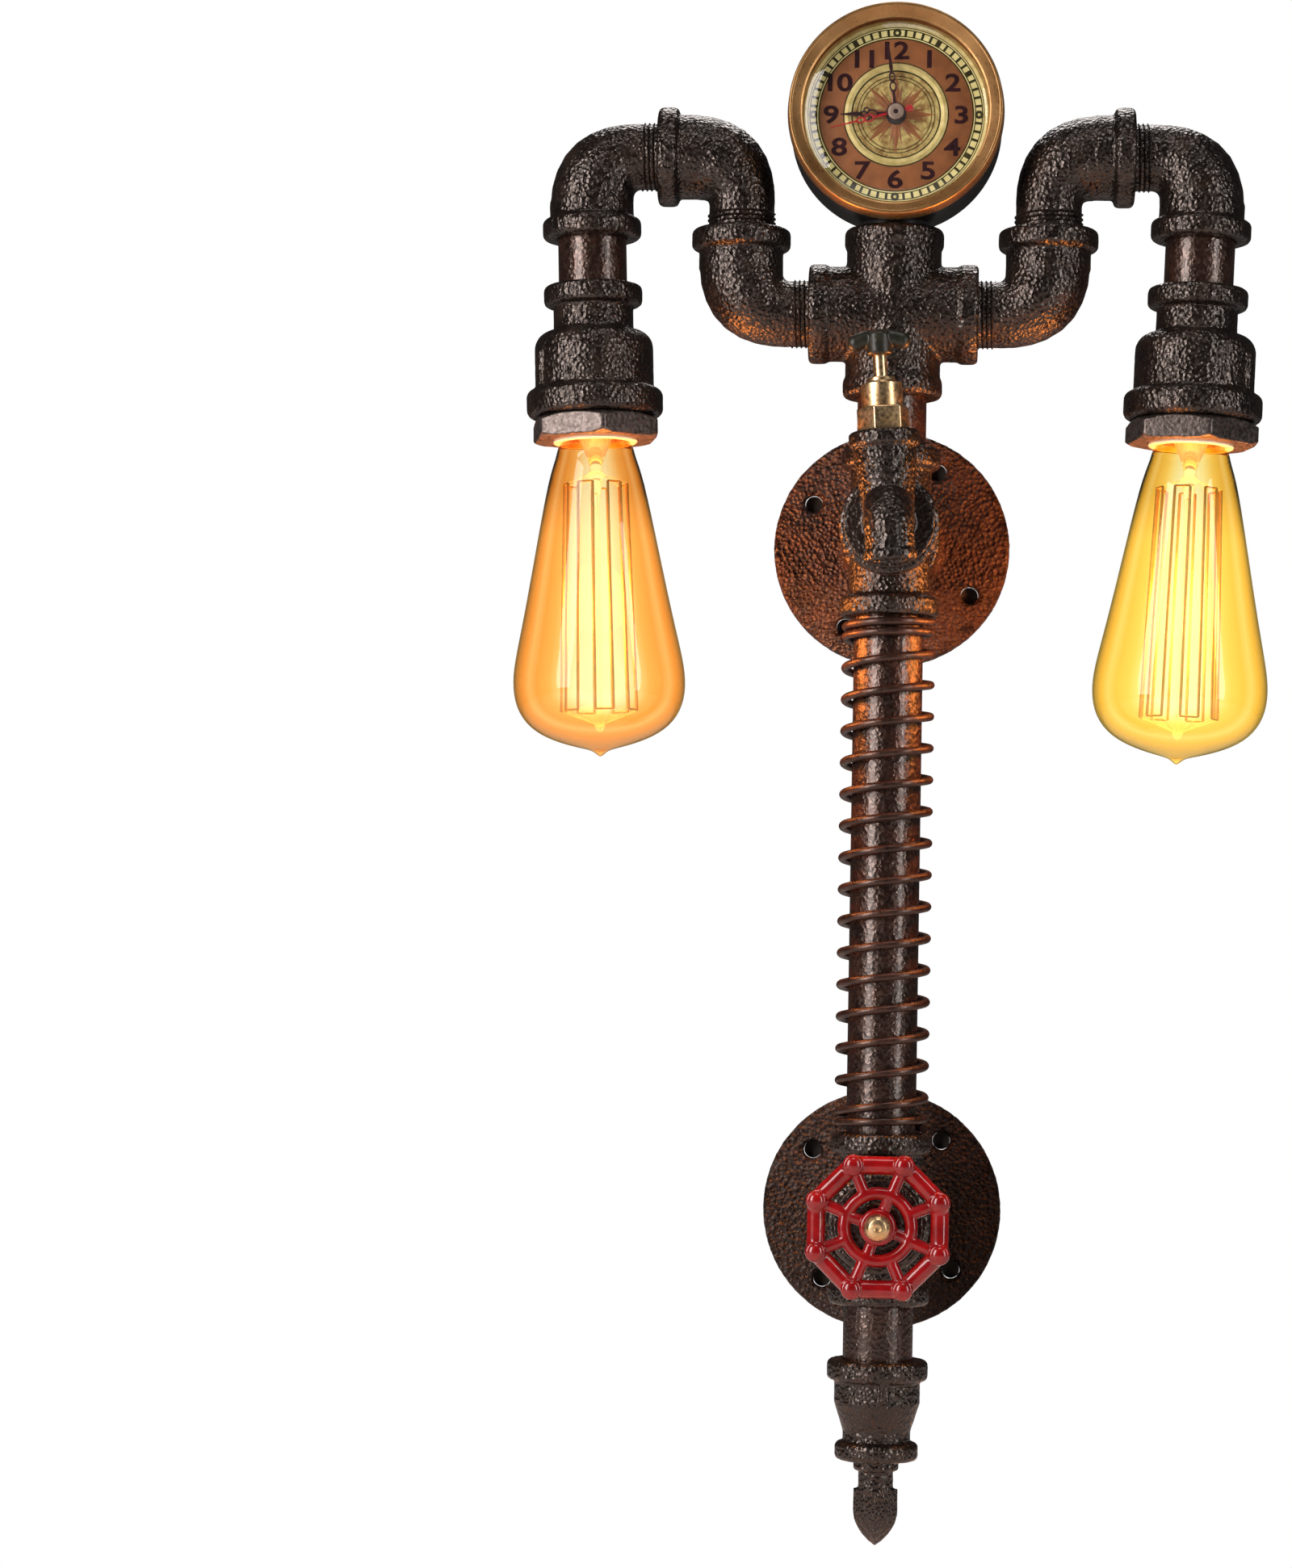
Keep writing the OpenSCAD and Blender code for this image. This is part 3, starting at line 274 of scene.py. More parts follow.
def along(finish, axis):
    """The Object coordinate along an axis, in metres."""
    nodes = finish.node_tree.nodes
    axes = nodes.new("ShaderNodeSeparateXYZ")
    finish.node_tree.links.new(nodes.new("ShaderNodeTexCoord").outputs["Object"], axes.inputs["Vector"])
    return axes.outputs[axis]


def spread(finish, value, low, high, start=0.3, stop=0.7):
    """Stretches a texture's value from the range start to stop to the range low to high."""
    ranged = finish.node_tree.nodes.new("ShaderNodeMapRange")
    for socket, number in (("From Min", start), ("From Max", stop), ("To Min", low), ("To Max", high)):
        ranged.inputs[socket].default_value = number
    finish.node_tree.links.new(value, ranged.inputs["Value"])
    return ranged.outputs["Result"]


print("texture helpers ready")

# %% [markdown]
# ### What the textures do
#
# A texture can colour a finish, roughen it or raise it. The colour goes through a ramp, so that the tones stay those
# of the real metal. The relief is a stack of Bump nodes, which is cheaper than geometry for grain under half a
# millimetre. Most finishes only wander between a dark and a light tone, and the last helper starts those.

# %% Helpers for colour, gloss and relief
def tint(finish, value, stops):
    """Colours a texture's value by a ramp of (position, colour) stops and gives it to the base colour."""
    ramp = finish.node_tree.nodes.new("ShaderNodeValToRGB")
    elements = ramp.color_ramp.elements
    while len(elements) < len(stops):
        elements.new(0.5)
    for element, (position, colour) in zip(elements, stops):
        element.position = position
        element.color = (*colour, 1)
    finish.node_tree.links.new(value, ramp.inputs["Fac"])
    finish.node_tree.links.new(ramp.outputs["Color"], sockets_of(finish)["Base Color"])


def roughen(finish, grain, low, high, start=0.3, stop=0.7):
    """Lets the roughness follow a noise, whose grain is its grains in a metre and its detail."""
    value = spread(finish, noise(finish, *grain), low, high, start, stop)
    finish.node_tree.links.new(value, sockets_of(finish)["Roughness"])


def bump(finish, *layers):
    """Stacks bumps of (texture value, depth in millimetres) on the shader's normal."""
    links = finish.node_tree.links
    below = None
    for value, depth in layers:
        relief = finish.node_tree.nodes.new("ShaderNodeBump")
        relief.inputs["Strength"].default_value = 1
        relief.inputs["Distance"].default_value = depth * mm
        links.new(value, relief.inputs["Height"])
        if below:
            links.new(below, relief.inputs["Normal"])
        below = relief.outputs["Normal"]
    links.new(below, sockets_of(finish)["Normal"])


def mottled(name, colour, roughness, grain, dark, light, ends=(0.3, 0.7), **sockets):
    """A finish that wanders between a dark and a light tone, which lie at two ends of a noise."""
    finish = new_finish(name, colour, roughness, **sockets)
    tint(finish, noise(finish, *grain), [(ends[0], dark), (ends[1], light)])
    return finish


print("finish helpers ready")

# %% [markdown]
# ## Iron
#
# Nearly everything here is black iron, and one black would look like plastic. So castings are pitted and a little
# rusty, the ring is bare, and the flanges are the coarsest, with rust. The flanges also carry painted light and shade
# that change from left to right: the upper one is painted paler and redder at the right as warm light from the bulb,
# the lower one darker at the right as painted shade, and the gloss of both is higher on the lit left side. The
# reflection has a faint warm tint, which an oil film gives.

# %% Iron
oil_tint = (1.0, 0.84, 0.76, 1)
fine_sand, coarse_sand = 640, 560

cast_iron = new_finish("cast_iron", (0.020, 0.013, 0.010), 0.3, Metallic=0.2, Specular_IOR_Level=0.9,
                       Specular_Tint=oil_tint)
tint(cast_iron, noise(cast_iron, 90, 5), [(0.3, (0.005, 0.0035, 0.003)), (0.55, (0.012, 0.0075, 0.006)),
                                          (0.75, (0.032, 0.018, 0.012))])
roughen(cast_iron, (fine_sand, 2), 0.42, 0.15, 0.34, 0.62)
bump(cast_iron, (noise(cast_iron, fine_sand, 2), 0.28), (pits(cast_iron, fine_sand), 0.42))

ring_iron = mottled("ring_iron", (0.07, 0.053, 0.046), 0.3, (700, 3), (0.026, 0.019, 0.016), (0.12, 0.095, 0.086),
                    (0.35, 0.65), Metallic=0.5, Specular_IOR_Level=0.9, Specular_Tint=oil_tint)
roughen(ring_iron, (500, 3), 0.24, 0.4)
bump(ring_iron, (noise(ring_iron, 800, 2), 0.14))


def flange_finish(name, rust, right_light_and_shade, shine):
    """Rusty coarse iron, painted paler (light) or darker (shade) at the right; shine is its gloss at left and right."""
    left_to_right = (-0.004, 0.022)
    finish = new_finish(name, (0.03, 0.017, 0.013), 0.3, Metallic=0.25, Specular_Tint=oil_tint)
    across = along(finish, "X")
    # Painted light and shade: the tone is scaled from 1 at the left to the third argument at the right.
    painted_light_and_shade = spread(finish, across, 1, right_light_and_shade, *left_to_right)
    tint(finish, math_node(finish.node_tree, "MULTIPLY", noise(finish, 120, 5), painted_light_and_shade),
         [(0.15, (0.004, 0.002, 0.0015)), (0.4, (0.014, 0.0068, 0.0053)), (0.65, rust)])
    roughen(finish, (coarse_sand, 2), 0.42, 0.24)
    # The gloss changes from left to right too, higher on the lit left side.
    gloss = spread(finish, across, *shine, *left_to_right)
    finish.node_tree.links.new(gloss, sockets_of(finish)["Specular IOR Level"])
    bump(finish, (pits(finish, coarse_sand), 1.5), (noise(finish, 800, 3), 0.6))
    return finish


# Upper flange: painted paler and redder at the right as the bulb's warm light. Lower: painted darker there as shade.
flange_iron = {"upper_flange": flange_finish("upper_flange_iron", (0.044, 0.021, 0.015), 1.3, (0.85, 0.3)),
               "lower_flange": flange_finish("lower_flange_iron", (0.024, 0.014, 0.012), 0.5, (0.65, 0.16))}
print("iron finishes", 2 + len(flange_iron))

# %% [markdown]
# ## Steel, brass and enamel
#
# Pipes are smooth and oiled, so they have a thin coat over the steel, and the spring's wire is browner. Brass and red
# enamel are the two bright accents. Enamel could be one glossy red, but a brushed coat is never even, so its tone and
# its level wander a little.

# %% Steel, brass and enamel
pipe_steel = mottled("pipe_steel", (0.018, 0.012, 0.010), 0.3, (110, 4), (0.010, 0.005, 0.004), (0.050, 0.021, 0.014),
                     Metallic=0.3, Specular_IOR_Level=1.0, Coat_Weight=0.4, Coat_Roughness=0.2, Coat_Tint=oil_tint,
                     Specular_Tint=oil_tint)
roughen(pipe_steel, (coarse_sand, 2), 0.42, 0.16, 0.36, 0.60)
bump(pipe_steel, (noise(pipe_steel, coarse_sand, 2), 0.34), (pits(pipe_steel, fine_sand), 0.16))

spring_steel = mottled("spring_steel", (0.07, 0.036, 0.026), 0.3, (160, 3), (0.026, 0.012, 0.009),
                       (0.066, 0.031, 0.022), Metallic=0.5, Specular_IOR_Level=1.0, Specular_Tint=oil_tint)
roughen(spring_steel, (500, 2), 0.24, 0.4)
bump(spring_steel, (noise(spring_steel, 900, 2), 0.08))

brass = mottled("polished_brass", (0.80, 0.54, 0.29), 0.3, (150, 3), (0.70, 0.43, 0.20), (0.90, 0.64, 0.37),
                Metallic=1.0)
roughen(brass, (700, 2), 0.24, 0.4)
bump(brass, (noise(brass, 450, 2), 0.04))

handle_black = mottled("handle_black", (0.016, 0.015, 0.009), 0.35, (200, 3), (0.009, 0.009, 0.006),
                       (0.024, 0.022, 0.013), Specular_IOR_Level=0.4)
bump(handle_black, (noise(handle_black, 600, 3), 0.15))

red_enamel = mottled("red_enamel", (0.34, 0.004, 0.006), 0.25, (170, 3), (0.21, 0.0015, 0.003), (0.35, 0.0045, 0.006),
                     Specular_IOR_Level=0.3, Coat_Weight=0.8, Coat_Roughness=0.05)
bump(red_enamel, (noise(red_enamel, 260, 2), 0.12))
print("finishes", len(bpy.data.materials))

# %% [markdown]
# ## Settling a piece in the frame
#
# Every finished piece sits at the origin with its place in its mesh and rides on a body of the frame. One helper does
# that for all of them, and marks edges sharper than 38 degrees so that smooth shading keeps the corners of hexagons
# and rims. A second one is for the pieces that take the place of a solid and not just add to it.

# %% Helpers that settle a piece
def settle(name, shape, finish, node, place=Matrix.Identity(4), sharp=38):
    """Makes a piece of a bmesh, which rides on the body of a node."""
    shape.transform(place)
    for edge in shape.edges:
        edge.smooth = len(edge.link_faces) == 2 and edge.calc_face_angle(0) < math.radians(sharp)
    for face in shape.faces:
        face.smooth = True
    piece = put(name, mesh_of(name, shape, finish))
    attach(piece, body_of[node])
    return piece


def dress(name, shape, finish, node, place=Matrix.Identity(4), sharp=38):
    """Settles a piece that stands for the whole solid of a node."""
    piece = settle(name, shape, finish, node, place, sharp)
    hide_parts(node)
    return piece


print("settling ready")

# %% [markdown]
# ## The castings
#
# Crosses, elbows, cups and flanges are poured in sand, so no edge on them is sharp and bodies run into each other
# with a fillet. Bevelling the edges of the solids one by one would be slow and would fail where three bodies meet.
# A voxel remesh of a merged copy, smoothed a few times, rounds every edge at once like the sand does. A displacement
# by a small cloud pattern then gives the rough skin that shows along the outlines, and a second one the paint.

# %% Cast fittings
sand = bpy.data.textures.new("sand_grain", "CLOUDS")
sand.noise_scale = 2.2 * mm
sand.noise_depth = 1


def casting(node, voxel, rounds, finish, grain=0.15, coat=0.0):
    """A soft-edged copy of a solid: voxel, depth of the sand and thickness of paint in mm, rounds of smoothing."""
    shape = bmesh.new()
    shape.from_mesh(frame["nodes"][node].data)
    bmesh.ops.remove_doubles(shape, verts=shape.verts, dist=1e-6)
    merged = mesh_of(node + "_merged", shape, finish)
    mould = put(node + "_mould", merged)
    remesh = mould.modifiers.new("remesh", "REMESH")
    remesh.mode = "VOXEL"
    remesh.voxel_size = voxel * mm
    soften = mould.modifiers.new("soften", "SMOOTH")
    soften.iterations = rounds
    skin = mould.modifiers.new("skin", "DISPLACE")
    skin.texture = sand
    skin.texture_coords = "LOCAL"
    skin.strength = grain * mm
    paint = mould.modifiers.new("paint", "DISPLACE")
    paint.mid_level = 0
    paint.strength = coat * mm
    ready = mould.evaluated_get(bpy.context.evaluated_depsgraph_get())
    shape = bmesh.new()
    shape.from_mesh(ready.to_mesh())
    ready.to_mesh_clear()
    bpy.data.objects.remove(mould)
    bpy.data.meshes.remove(merged)
    piece = dress(node + "_cast", shape, finish, node, sharp=180)
    return len(piece.data.polygons)


cast_faces = 0
fitting_voxel, fitting_rounds = 0.72, 3
for node in ("upper_cross", "lower_cross", "top_cross"):
    cast_faces += casting(node, fitting_voxel, fitting_rounds, cast_iron)
for side in sides:
    for fitting in ("lower_elbow", "upper_elbow", "drop_elbow", "socket_cup"):
        cast_faces += casting(f"{side}_{fitting}", fitting_voxel, fitting_rounds, cast_iron)
    cast_faces += casting(f"{side}_socket_ring", 0.45, 2, ring_iron, 0.05)
for node, finish in flange_iron.items():
    cast_faces += casting(node, 0.7, 3, finish, 0.4)
for node, voxel, rounds in (("tail_reducer", 0.55, 4), ("finial", 0.4, 4), ("tap_body", 0.5, 6),
                            ("switch_bushing", 0.5, 4)):
    cast_faces += casting(node, voxel, rounds, cast_iron, 0.2)
cast_faces += casting("handwheel", 0.36, 14, red_enamel, 0.05, 0.45)
cast_faces += casting("tap_handle", 0.34, 7, handle_black, 0.08)
print("faces of the castings", cast_faces)

# %% [markdown]
# ## Pipes and nipples
#
# A nipple is a short pipe with a thread at each end. A cylinder would do, but a lathe makes the pipe's wall, its
# bore and the small step to the thread in one go: a few points of the half section are joined by edges, the corners
# are rounded, and spin turns them once round. The full spin is merged so that no seam stays open.

# %% Lathe and pipes
def lathe(profile, steps=96, soft=0.0, closed=False):
    """A bmesh turned about Z from (radius, height) points in mm. soft rounds the corners, closed joins the ends."""
    shape = bmesh.new()
    points = [shape.verts.new((r * mm, 0, h * mm)) for r, h in profile]
    for pair in zip(points, points[1:] + points[:1] if closed else points[1:]):
        shape.edges.new(pair)
    if soft:
        corners = [p for p in points if len(p.link_edges) == 2]
        bmesh.ops.bevel(shape, geom=corners, offset=soft * mm, offset_type="OFFSET", affect="VERTICES", segments=3,
                        profile=0.5, material=-1, clamp_overlap=True)
    bmesh.ops.spin(shape, geom=shape.verts[:] + shape.edges[:], cent=(0, 0, 0), axis=(0, 0, 1), dvec=(0, 0, 0),
                   angle=math.tau, steps=steps, use_merge=True)
    bmesh.ops.remove_doubles(shape, verts=shape.verts, dist=1e-6)
    bmesh.ops.recalc_face_normals(shape, faces=shape.faces)
    return shape


column_y, hub_h, reach = -60, 20, 33
elbow_x, leg_x, arm_z, leg_z, leg_lean = 60, 120, 86, 148, 2
leg = {side: at(leg_x * sign, column_y, leg_z) @ turned(leg_lean * sign, "Y") @ downward
       for side, sign in sides.items()}
pipe_r, bore_r, crest_r, screwed = 13.45, 10.8, 13.2, 15
tail_len = 21
nipples = {
    "upper_wall_nipple": (at(0, -hub_h, 0) @ off_wall, 7),
    "lower_wall_nipple": (at(0, -hub_h, lower_z) @ off_wall, 7),
    "neck_nipple": (at(0, column_y, reach), 20),
    "riser_pipe": (at(0, column_y, lower_z + reach), 200),
    "tail_nipple": (at(0, column_y, lower_z - reach - tail_len), tail_len),
    "left_drop_nipple": (leg["left"] @ at(0, 0, reach), 18.5),
    "right_drop_nipple": (leg["right"] @ at(0, 0, reach), 18.5),
}
for node, (place, length) in nipples.items():
    shape = lathe([(bore_r, -screwed), (crest_r, -screwed), (crest_r, -1.6), (pipe_r, 0.6), (pipe_r, length - 0.6),
                   (crest_r, length + 1.6), (crest_r, length + screwed), (bore_r, length + screwed)],
                  soft=0.3, closed=True)
    dress(node + "_turned", shape, pipe_steel, node, place)
print("nipples", len(nipples))

# %% [markdown]
# ## Threads that show
#
# Where a street elbow is screwed into its neighbour, the last turns of its taper thread stay outside the port. They
# could be painted as bump, but they catch the light from every side. A small triangle spun a few times round while
# it climbs gives a true right-hand thread of the standard pitch.

# %% Thread turns
thread_pitch, thread_root_r, half_tooth = 1.814, 12.4, 0.75
port_face = 27


def thread_turns(name, node, place, turns=3.6):
    """The last turns of a thread, which end at the face of a port."""
    shape = bmesh.new()
    start = port_face - turns * thread_pitch
    corners = [shape.verts.new((r * mm, 0, h * mm)) for r, h in (
        (thread_root_r, start - half_tooth), (pipe_r, start), (thread_root_r, start + half_tooth))]
    tooth = shape.faces.new(corners)
    steps = round(turns * 48)
    bmesh.ops.spin(shape, geom=[tooth] + tooth.edges[:] + corners, cent=(0, 0, 0), axis=(0, 0, 1),
                   dvec=(0, 0, thread_pitch * turns / steps * mm), angle=math.tau * turns, steps=steps, use_merge=False)
    bmesh.ops.remove_doubles(shape, verts=shape.verts, dist=1e-7)
    bmesh.ops.recalc_face_normals(shape, faces=shape.faces)
    settle(name, shape, cast_iron, node, place, sharp=70)


for side, sign in sides.items():
    inward = turned(-90 * sign, "Y")
    thread_turns(side + "_lower_thread", side + "_lower_elbow", at(elbow_x * sign, column_y, arm_z) @ inward)
    thread_turns(side + "_upper_thread", side + "_upper_elbow", at(elbow_x * sign, column_y, leg_z) @ downward, 2.4)
    thread_turns(side + "_drop_thread", side + "_drop_elbow", at(leg_x * sign, column_y, leg_z) @ inward)
print("threads 6")

# %% [markdown]
# ## The spring
#
# The coil round the riser is one hard-drawn wire: a turn and a half lies close at each end, and fifteen turns stand
# open between them. The same spin that made the thread makes it, with a round section in place of the tooth. Each
# stretch goes on from the last section of the one before, so the wire stays whole.

# %% Spring
wire_r, coil_r, coil_foot = 1.6, 16.65, -231.2
close_pitch, open_pitch = 3.9, 12.313
shape = bmesh.new()
section = bmesh.ops.create_circle(shape, cap_ends=True, segments=14, radius=wire_r * mm,
                                  matrix=at(coil_r, 0, 0) @ off_wall)
wire = section["verts"] + shape.edges[:] + shape.faces[:]
for turns, rise in ((1.5, close_pitch), (15, open_pitch), (1.5, close_pitch)):
    steps = round(turns * 44)
    wire = bmesh.ops.spin(shape, geom=wire, cent=(0, 0, 0), axis=(0, 0, 1), dvec=(0, 0, rise * turns / steps * mm),
                          angle=math.tau * turns, steps=steps, use_merge=False)["geom_last"]
bmesh.ops.remove_doubles(shape, verts=shape.verts, dist=1e-7)
bmesh.ops.recalc_face_normals(shape, faces=shape.faces)
spring = dress("spring_coil", shape, spring_steel, "spring", at(0, column_y, coil_foot))
print("spring faces", len(spring.data.polygons))

# %% [markdown]
# ## Brass on the tap
#
# The tap's bonnet is a hexagon nut, and the gland and the stem above it are turned. The hexagon is a six-sided cone
# operator with equal radii, whose edges get a small bevel so that they catch a line of light. The tap leans a little,
# as it was screwed in.

# %% Tap brass
tap_y, tap_lean = -108, -4
tap_axis = turned(tap_lean, "Y") @ at(0, tap_y, 0)
bonnet_flats, bonnet_h, bonnet_turn = 17.6, 9, 42
bonnet_r = bonnet_flats / 2 / math.cos(math.pi / 6) * mm
shape = bmesh.new()
bmesh.ops.create_cone(shape, cap_ends=True, segments=6, radius1=bonnet_r, radius2=bonnet_r, depth=bonnet_h * mm,
                      matrix=at(0, 0, reach + bonnet_h / 2) @ turned(bonnet_turn, "Z"))
bmesh.ops.bevel(shape, geom=shape.edges[:], offset=0.6 * mm, offset_type="OFFSET", affect="EDGES", segments=3,
                profile=0.5, material=-1)
dress("bonnet_nut", shape, brass, "tap_bonnet", tap_axis)

shape = lathe([(2.75, 42), (7.8, 42), (7.8, 51.2), (5.4, 51.8), (5.2, 53.6), (2.75, 53.6)], soft=0.35, closed=True)
dress("gland_nut", shape, brass, "tap_gland", tap_axis)
shape = lathe([(0, 27), (2.7, 27), (2.7, 68), (0, 68)], soft=0.3)
dress("stem_rod", shape, brass, "tap_stem", tap_axis)
print("tap brass 3")

# %% [markdown]
# ## The wheel's nut and knobs
#
# A domed brass nut holds the handwheel on its spindle, and the lathe turns it. Thick paint rounds the knobs on the
# wheel's rim. More smoothing would eat the spokes, so a flattened sphere sits on each knob and gives its spot of light.

# %% Wheel nut and knobs
nut_y, wheel_y = -115, -113
shape = lathe([(0, 0.2), (5.2, 0), (5.2, 2.2), (4.6, 4.6), (3.2, 5.9), (1.5, 6.4), (1.2, 6.2), (1.1, 5.6), (0, 5.5)],
              soft=0.25)
dress("cap_nut", shape, brass, "wheel_nut", at(0, nut_y, lower_z) @ off_wall)

knobs, knob_r, knob_circle_r, knob_rise, knob_flat = 8, 3.6, 24.9, 2.6, 0.75
wheel = at(0, wheel_y, lower_z) @ off_wall
shape = bmesh.new()
for k in range(knobs):
    place = turned(360 * (k + 0.5) / knobs, "Z") @ at(knob_circle_r, 0, knob_rise)
    knob = place @ Matrix.Diagonal((1, 1, knob_flat, 1))
    bmesh.ops.create_uvsphere(shape, u_segments=32, v_segments=16, radius=knob_r * mm, matrix=wheel @ knob)
settle("wheel_knobs", shape, red_enamel, "handwheel")
print("nut 1, knobs", knobs)

# %% [markdown]
# ## The clock's case, bezel and glass
#
# A black tin case carries a copper bezel that slopes inward like a funnel, and a domed glass lies at its foot. All
# three are round, so each is one half section on the lathe. The dome matters: a flat glass would show one even
# reflection, and the domed one gathers the soft box into a streak near the rim.

# %% Case, bezel and glass
clock_y, clock_z, spigot_drop = -47, 162, 40
clock = at(0, clock_y, clock_z) @ off_wall

case_black = mottled("case_black", (0.012, 0.010, 0.009), 0.34, (120, 3), (0.008, 0.007, 0.007), (0.020, 0.017, 0.016),
                     Specular_IOR_Level=0.3)
bump(case_black, (noise(case_black, 500, 2), 0.04))
bezel_copper = mottled("bezel_copper", (0.46, 0.24, 0.085), 0.36, (80, 4), (0.30, 0.15, 0.05), (0.47, 0.25, 0.092),
                       Metallic=0.7)
roughen(bezel_copper, (600, 2), 0.26, 0.38)
bump(bezel_copper, (noise(bezel_copper, 300, 2), 0.04))
clear_glass = new_finish("clear_glass", (1, 1, 1), 0.02, IOR=1.45, Transmission_Weight=1.0)
bump(clear_glass, (noise(clear_glass, 60, 1), 0.05))

shape = lathe([(0, -4), (37.5, -4), (40.1, -3), (41.5, -0.4), (41.5, 30), (39, 30), (39, 25), (37, 25), (37, -2),
               (0, -2)], soft=0.5)
dress("case_shell", shape, case_black, "clock_case", clock)
shape = lathe([(0, 0), (13.2, 0), (13.2, 18), (0, 18)], soft=0.4)
settle("case_spigot", shape, case_black, "clock_case", at(0, column_y, clock_z - spigot_drop) @ downward)

shape = lathe([(37.8, 26), (38.8, 26), (38.8, 30), (42, 30), (41.4, 38.4), (40.9, 39), (40.1, 39), (39.6, 38.5),
               (36.8, 35.6), (36, 35.2), (36, 34.5), (37.8, 34.5)], soft=0.25, closed=True, steps=160)
dress("bezel_ring", shape, bezel_copper, "clock_bezel", clock)

shape = lathe([(0, 37.4), (10, 37.3), (20, 37), (28, 36.2), (31.5, 35.3), (34, 34.3), (36.2, 33.2), (37.5, 32.6),
               (37.5, 33.8), (36.2, 34.4), (34, 35.5), (31.5, 36.5), (28, 37.4), (20, 38.2), (10, 38.5), (0, 38.6)],
              steps=128)
glass = dress("glass_dome", shape, clear_glass, "clock_glass", clock, sharp=60)
glass.visible_shadow = False
print("clock shell ready")

# %% [markdown]
# ## The dial
#
# The dial is a printed plate: a pale-gold minute track, a copper band with dark numerals and a gold ring round a
# medallion. Its own picture isn't repeated. A compass star, as on any old instrument, fills the middle. An image
# would be quick, but separate thin rings stay sharp at any size, so each ring is lathed and laid on the plate.

# %% Dial plate and rings
dial_copper = mottled("dial_copper", (0.20, 0.055, 0.020), 0.45, (250, 4), (0.20, 0.066, 0.018), (0.27, 0.094, 0.028),
                      Metallic=0.2)
bump(dial_copper, (noise(dial_copper, 2500, 2), 0.02))
dial_gold = mottled("dial_gold", (0.42, 0.33, 0.13), 0.35, (400, 4), (0.47, 0.36, 0.115), (0.66, 0.54, 0.23),
                    Metallic=0.4)
bump(dial_gold, (noise(dial_gold, 1800, 2), 0.03))
medal_gold = mottled("medal_gold", (0.27, 0.19, 0.075), 0.4, (500, 5), (0.23, 0.125, 0.036), (0.54, 0.42, 0.15),
                     (0.35, 0.65), Metallic=0.3)
track_cream = mottled("track_cream", (0.58, 0.52, 0.24), 0.45, (300, 3), (0.64, 0.55, 0.20), (0.78, 0.70, 0.32))
dial_ink = mottled("dial_ink", (0.020, 0.003, 0.005), 0.5, (500, 2), (0.012, 0.002, 0.003), (0.028, 0.005, 0.007),
                   Specular_IOR_Level=0.15)
olive_ink = mottled("olive_ink", (0.03, 0.026, 0.007), 0.5, (500, 2), (0.020, 0.018, 0.005), (0.045, 0.038, 0.011),
                    Specular_IOR_Level=0.2)

dial_f = 26
shape = lathe([(0, 25), (38.8, 25), (38.8, dial_f), (0, dial_f)], soft=0.1, steps=128)
dress("dial_plate", shape, dial_copper, "clock_dial", clock)


def dial_ring(name, inner, outer, height, finish, crown=0.0):
    """A thin ring on the dial: height above the plate and the crown of its middle in mm."""
    middle = (inner + outer) / 2
    profile = [(inner, dial_f - 0.1), (inner, dial_f + height), (middle, dial_f + height + crown),
               (outer, dial_f + height), (outer, dial_f - 0.1)]
    settle(name, lathe(profile, steps=128, closed=True), finish, "clock_dial", clock, sharp=30)


dial_ring("track_ring", 30.1, 33.9, 0.10, track_cream)
dial_ring("rim_ring", 34.2, 36.6, 0.30, dial_gold, 0.45)
dial_ring("outer_line", 33.9, 34.2, 0.12, olive_ink)
dial_ring("band_line", 29.6, 30.1, 0.14, olive_ink)
dial_ring("inner_rail", 30.5, 30.9, 0.14, olive_ink)
dial_ring("outer_rail", 33.1, 33.5, 0.14, olive_ink)
dial_ring("medal_ring", 17.4, 20.0, 0.30, dial_gold, 0.45)
dial_ring("medal_outline", 20.0, 20.5, 0.10, olive_ink)
dial_ring("medal_inline", 16.8, 17.4, 0.10, olive_ink)
print("dial rings 9")

# %% [markdown]
# ### The minute track
#
# Dark dashes between two rails make the track look like a ladder, wider at the hours, and a round spot marks each
# quarter. A pattern in the shader would need a turn by angle, so small boxes turned round the centre are simpler.

# %% Minute track
track_r = 32


def clock_turn(minutes):
    """The turn from twelve to a minute of the dial."""
    return Matrix.Rotation(-math.tau * minutes / 60, 4, "Z")


shape = bmesh.new()
for minute in range(60):
    if minute % 15:
        width = 2.0 if minute % 5 == 0 else 1.0
        bmesh.ops.create_cube(shape, size=mm, matrix=clock_turn(minute) @ at(0, track_r, dial_f + 0.12)
                              @ Matrix.Diagonal((width, 2.4, 0.1, 1)))
settle("minute_marks", shape, olive_ink, "clock_dial", clock)
for quarter in range(4):
    spot = lathe([(0.6, dial_f), (0.6, dial_f + 0.25), (1.6, dial_f + 0.25), (1.6, dial_f)], steps=32, closed=True)
    settle(f"quarter_spot_{quarter}", spot, olive_ink, "clock_dial",
           clock @ clock_turn(15 * quarter) @ at(0, track_r, 0))
print("dashes 56, spots 4")

# %% [markdown]
# ## Numerals
#
# Plain figures from one to twelve stand upright on the copper band. Blender's text object gives them, and it is made
# a mesh before it is put in place, so that the finished piece has its place in its vertices like all the others. The
# six is a nine turned over, because the thickened six of this font closes up.

# %% Numerals
numeral_h, numeral_r, numeral_wide = 7.0, 25.2, 1.3
size_per_height = 1.36


def figure(number):
    """A bmesh of a number, centred, lying in the XY plane."""
    text = bpy.data.curves.new("figure", "FONT")
    text.body = str(number)
    text.size = numeral_h * mm * size_per_height
    text.offset = 0.22 * mm
    text.extrude = 0.06 * mm
    text.space_character = 0.92
    carrier = put("figure", text)
    bpy.context.view_layer.update()
    mesh = bpy.data.meshes.new_from_object(carrier.evaluated_get(bpy.context.evaluated_depsgraph_get()))
    shape = bmesh.new()
    shape.from_mesh(mesh)
    bpy.data.objects.remove(carrier)
    bpy.data.curves.remove(text)
    bpy.data.meshes.remove(mesh)
    low = Vector([min(v.co[i] for v in shape.verts) for i in range(3)])
    high = Vector([max(v.co[i] for v in shape.verts) for i in range(3)])
    bmesh.ops.translate(shape, vec=-(low + high) / 2, verts=shape.verts)
    bmesh.ops.scale(shape, vec=(numeral_wide, 1, 1), verts=shape.verts)
    return shape


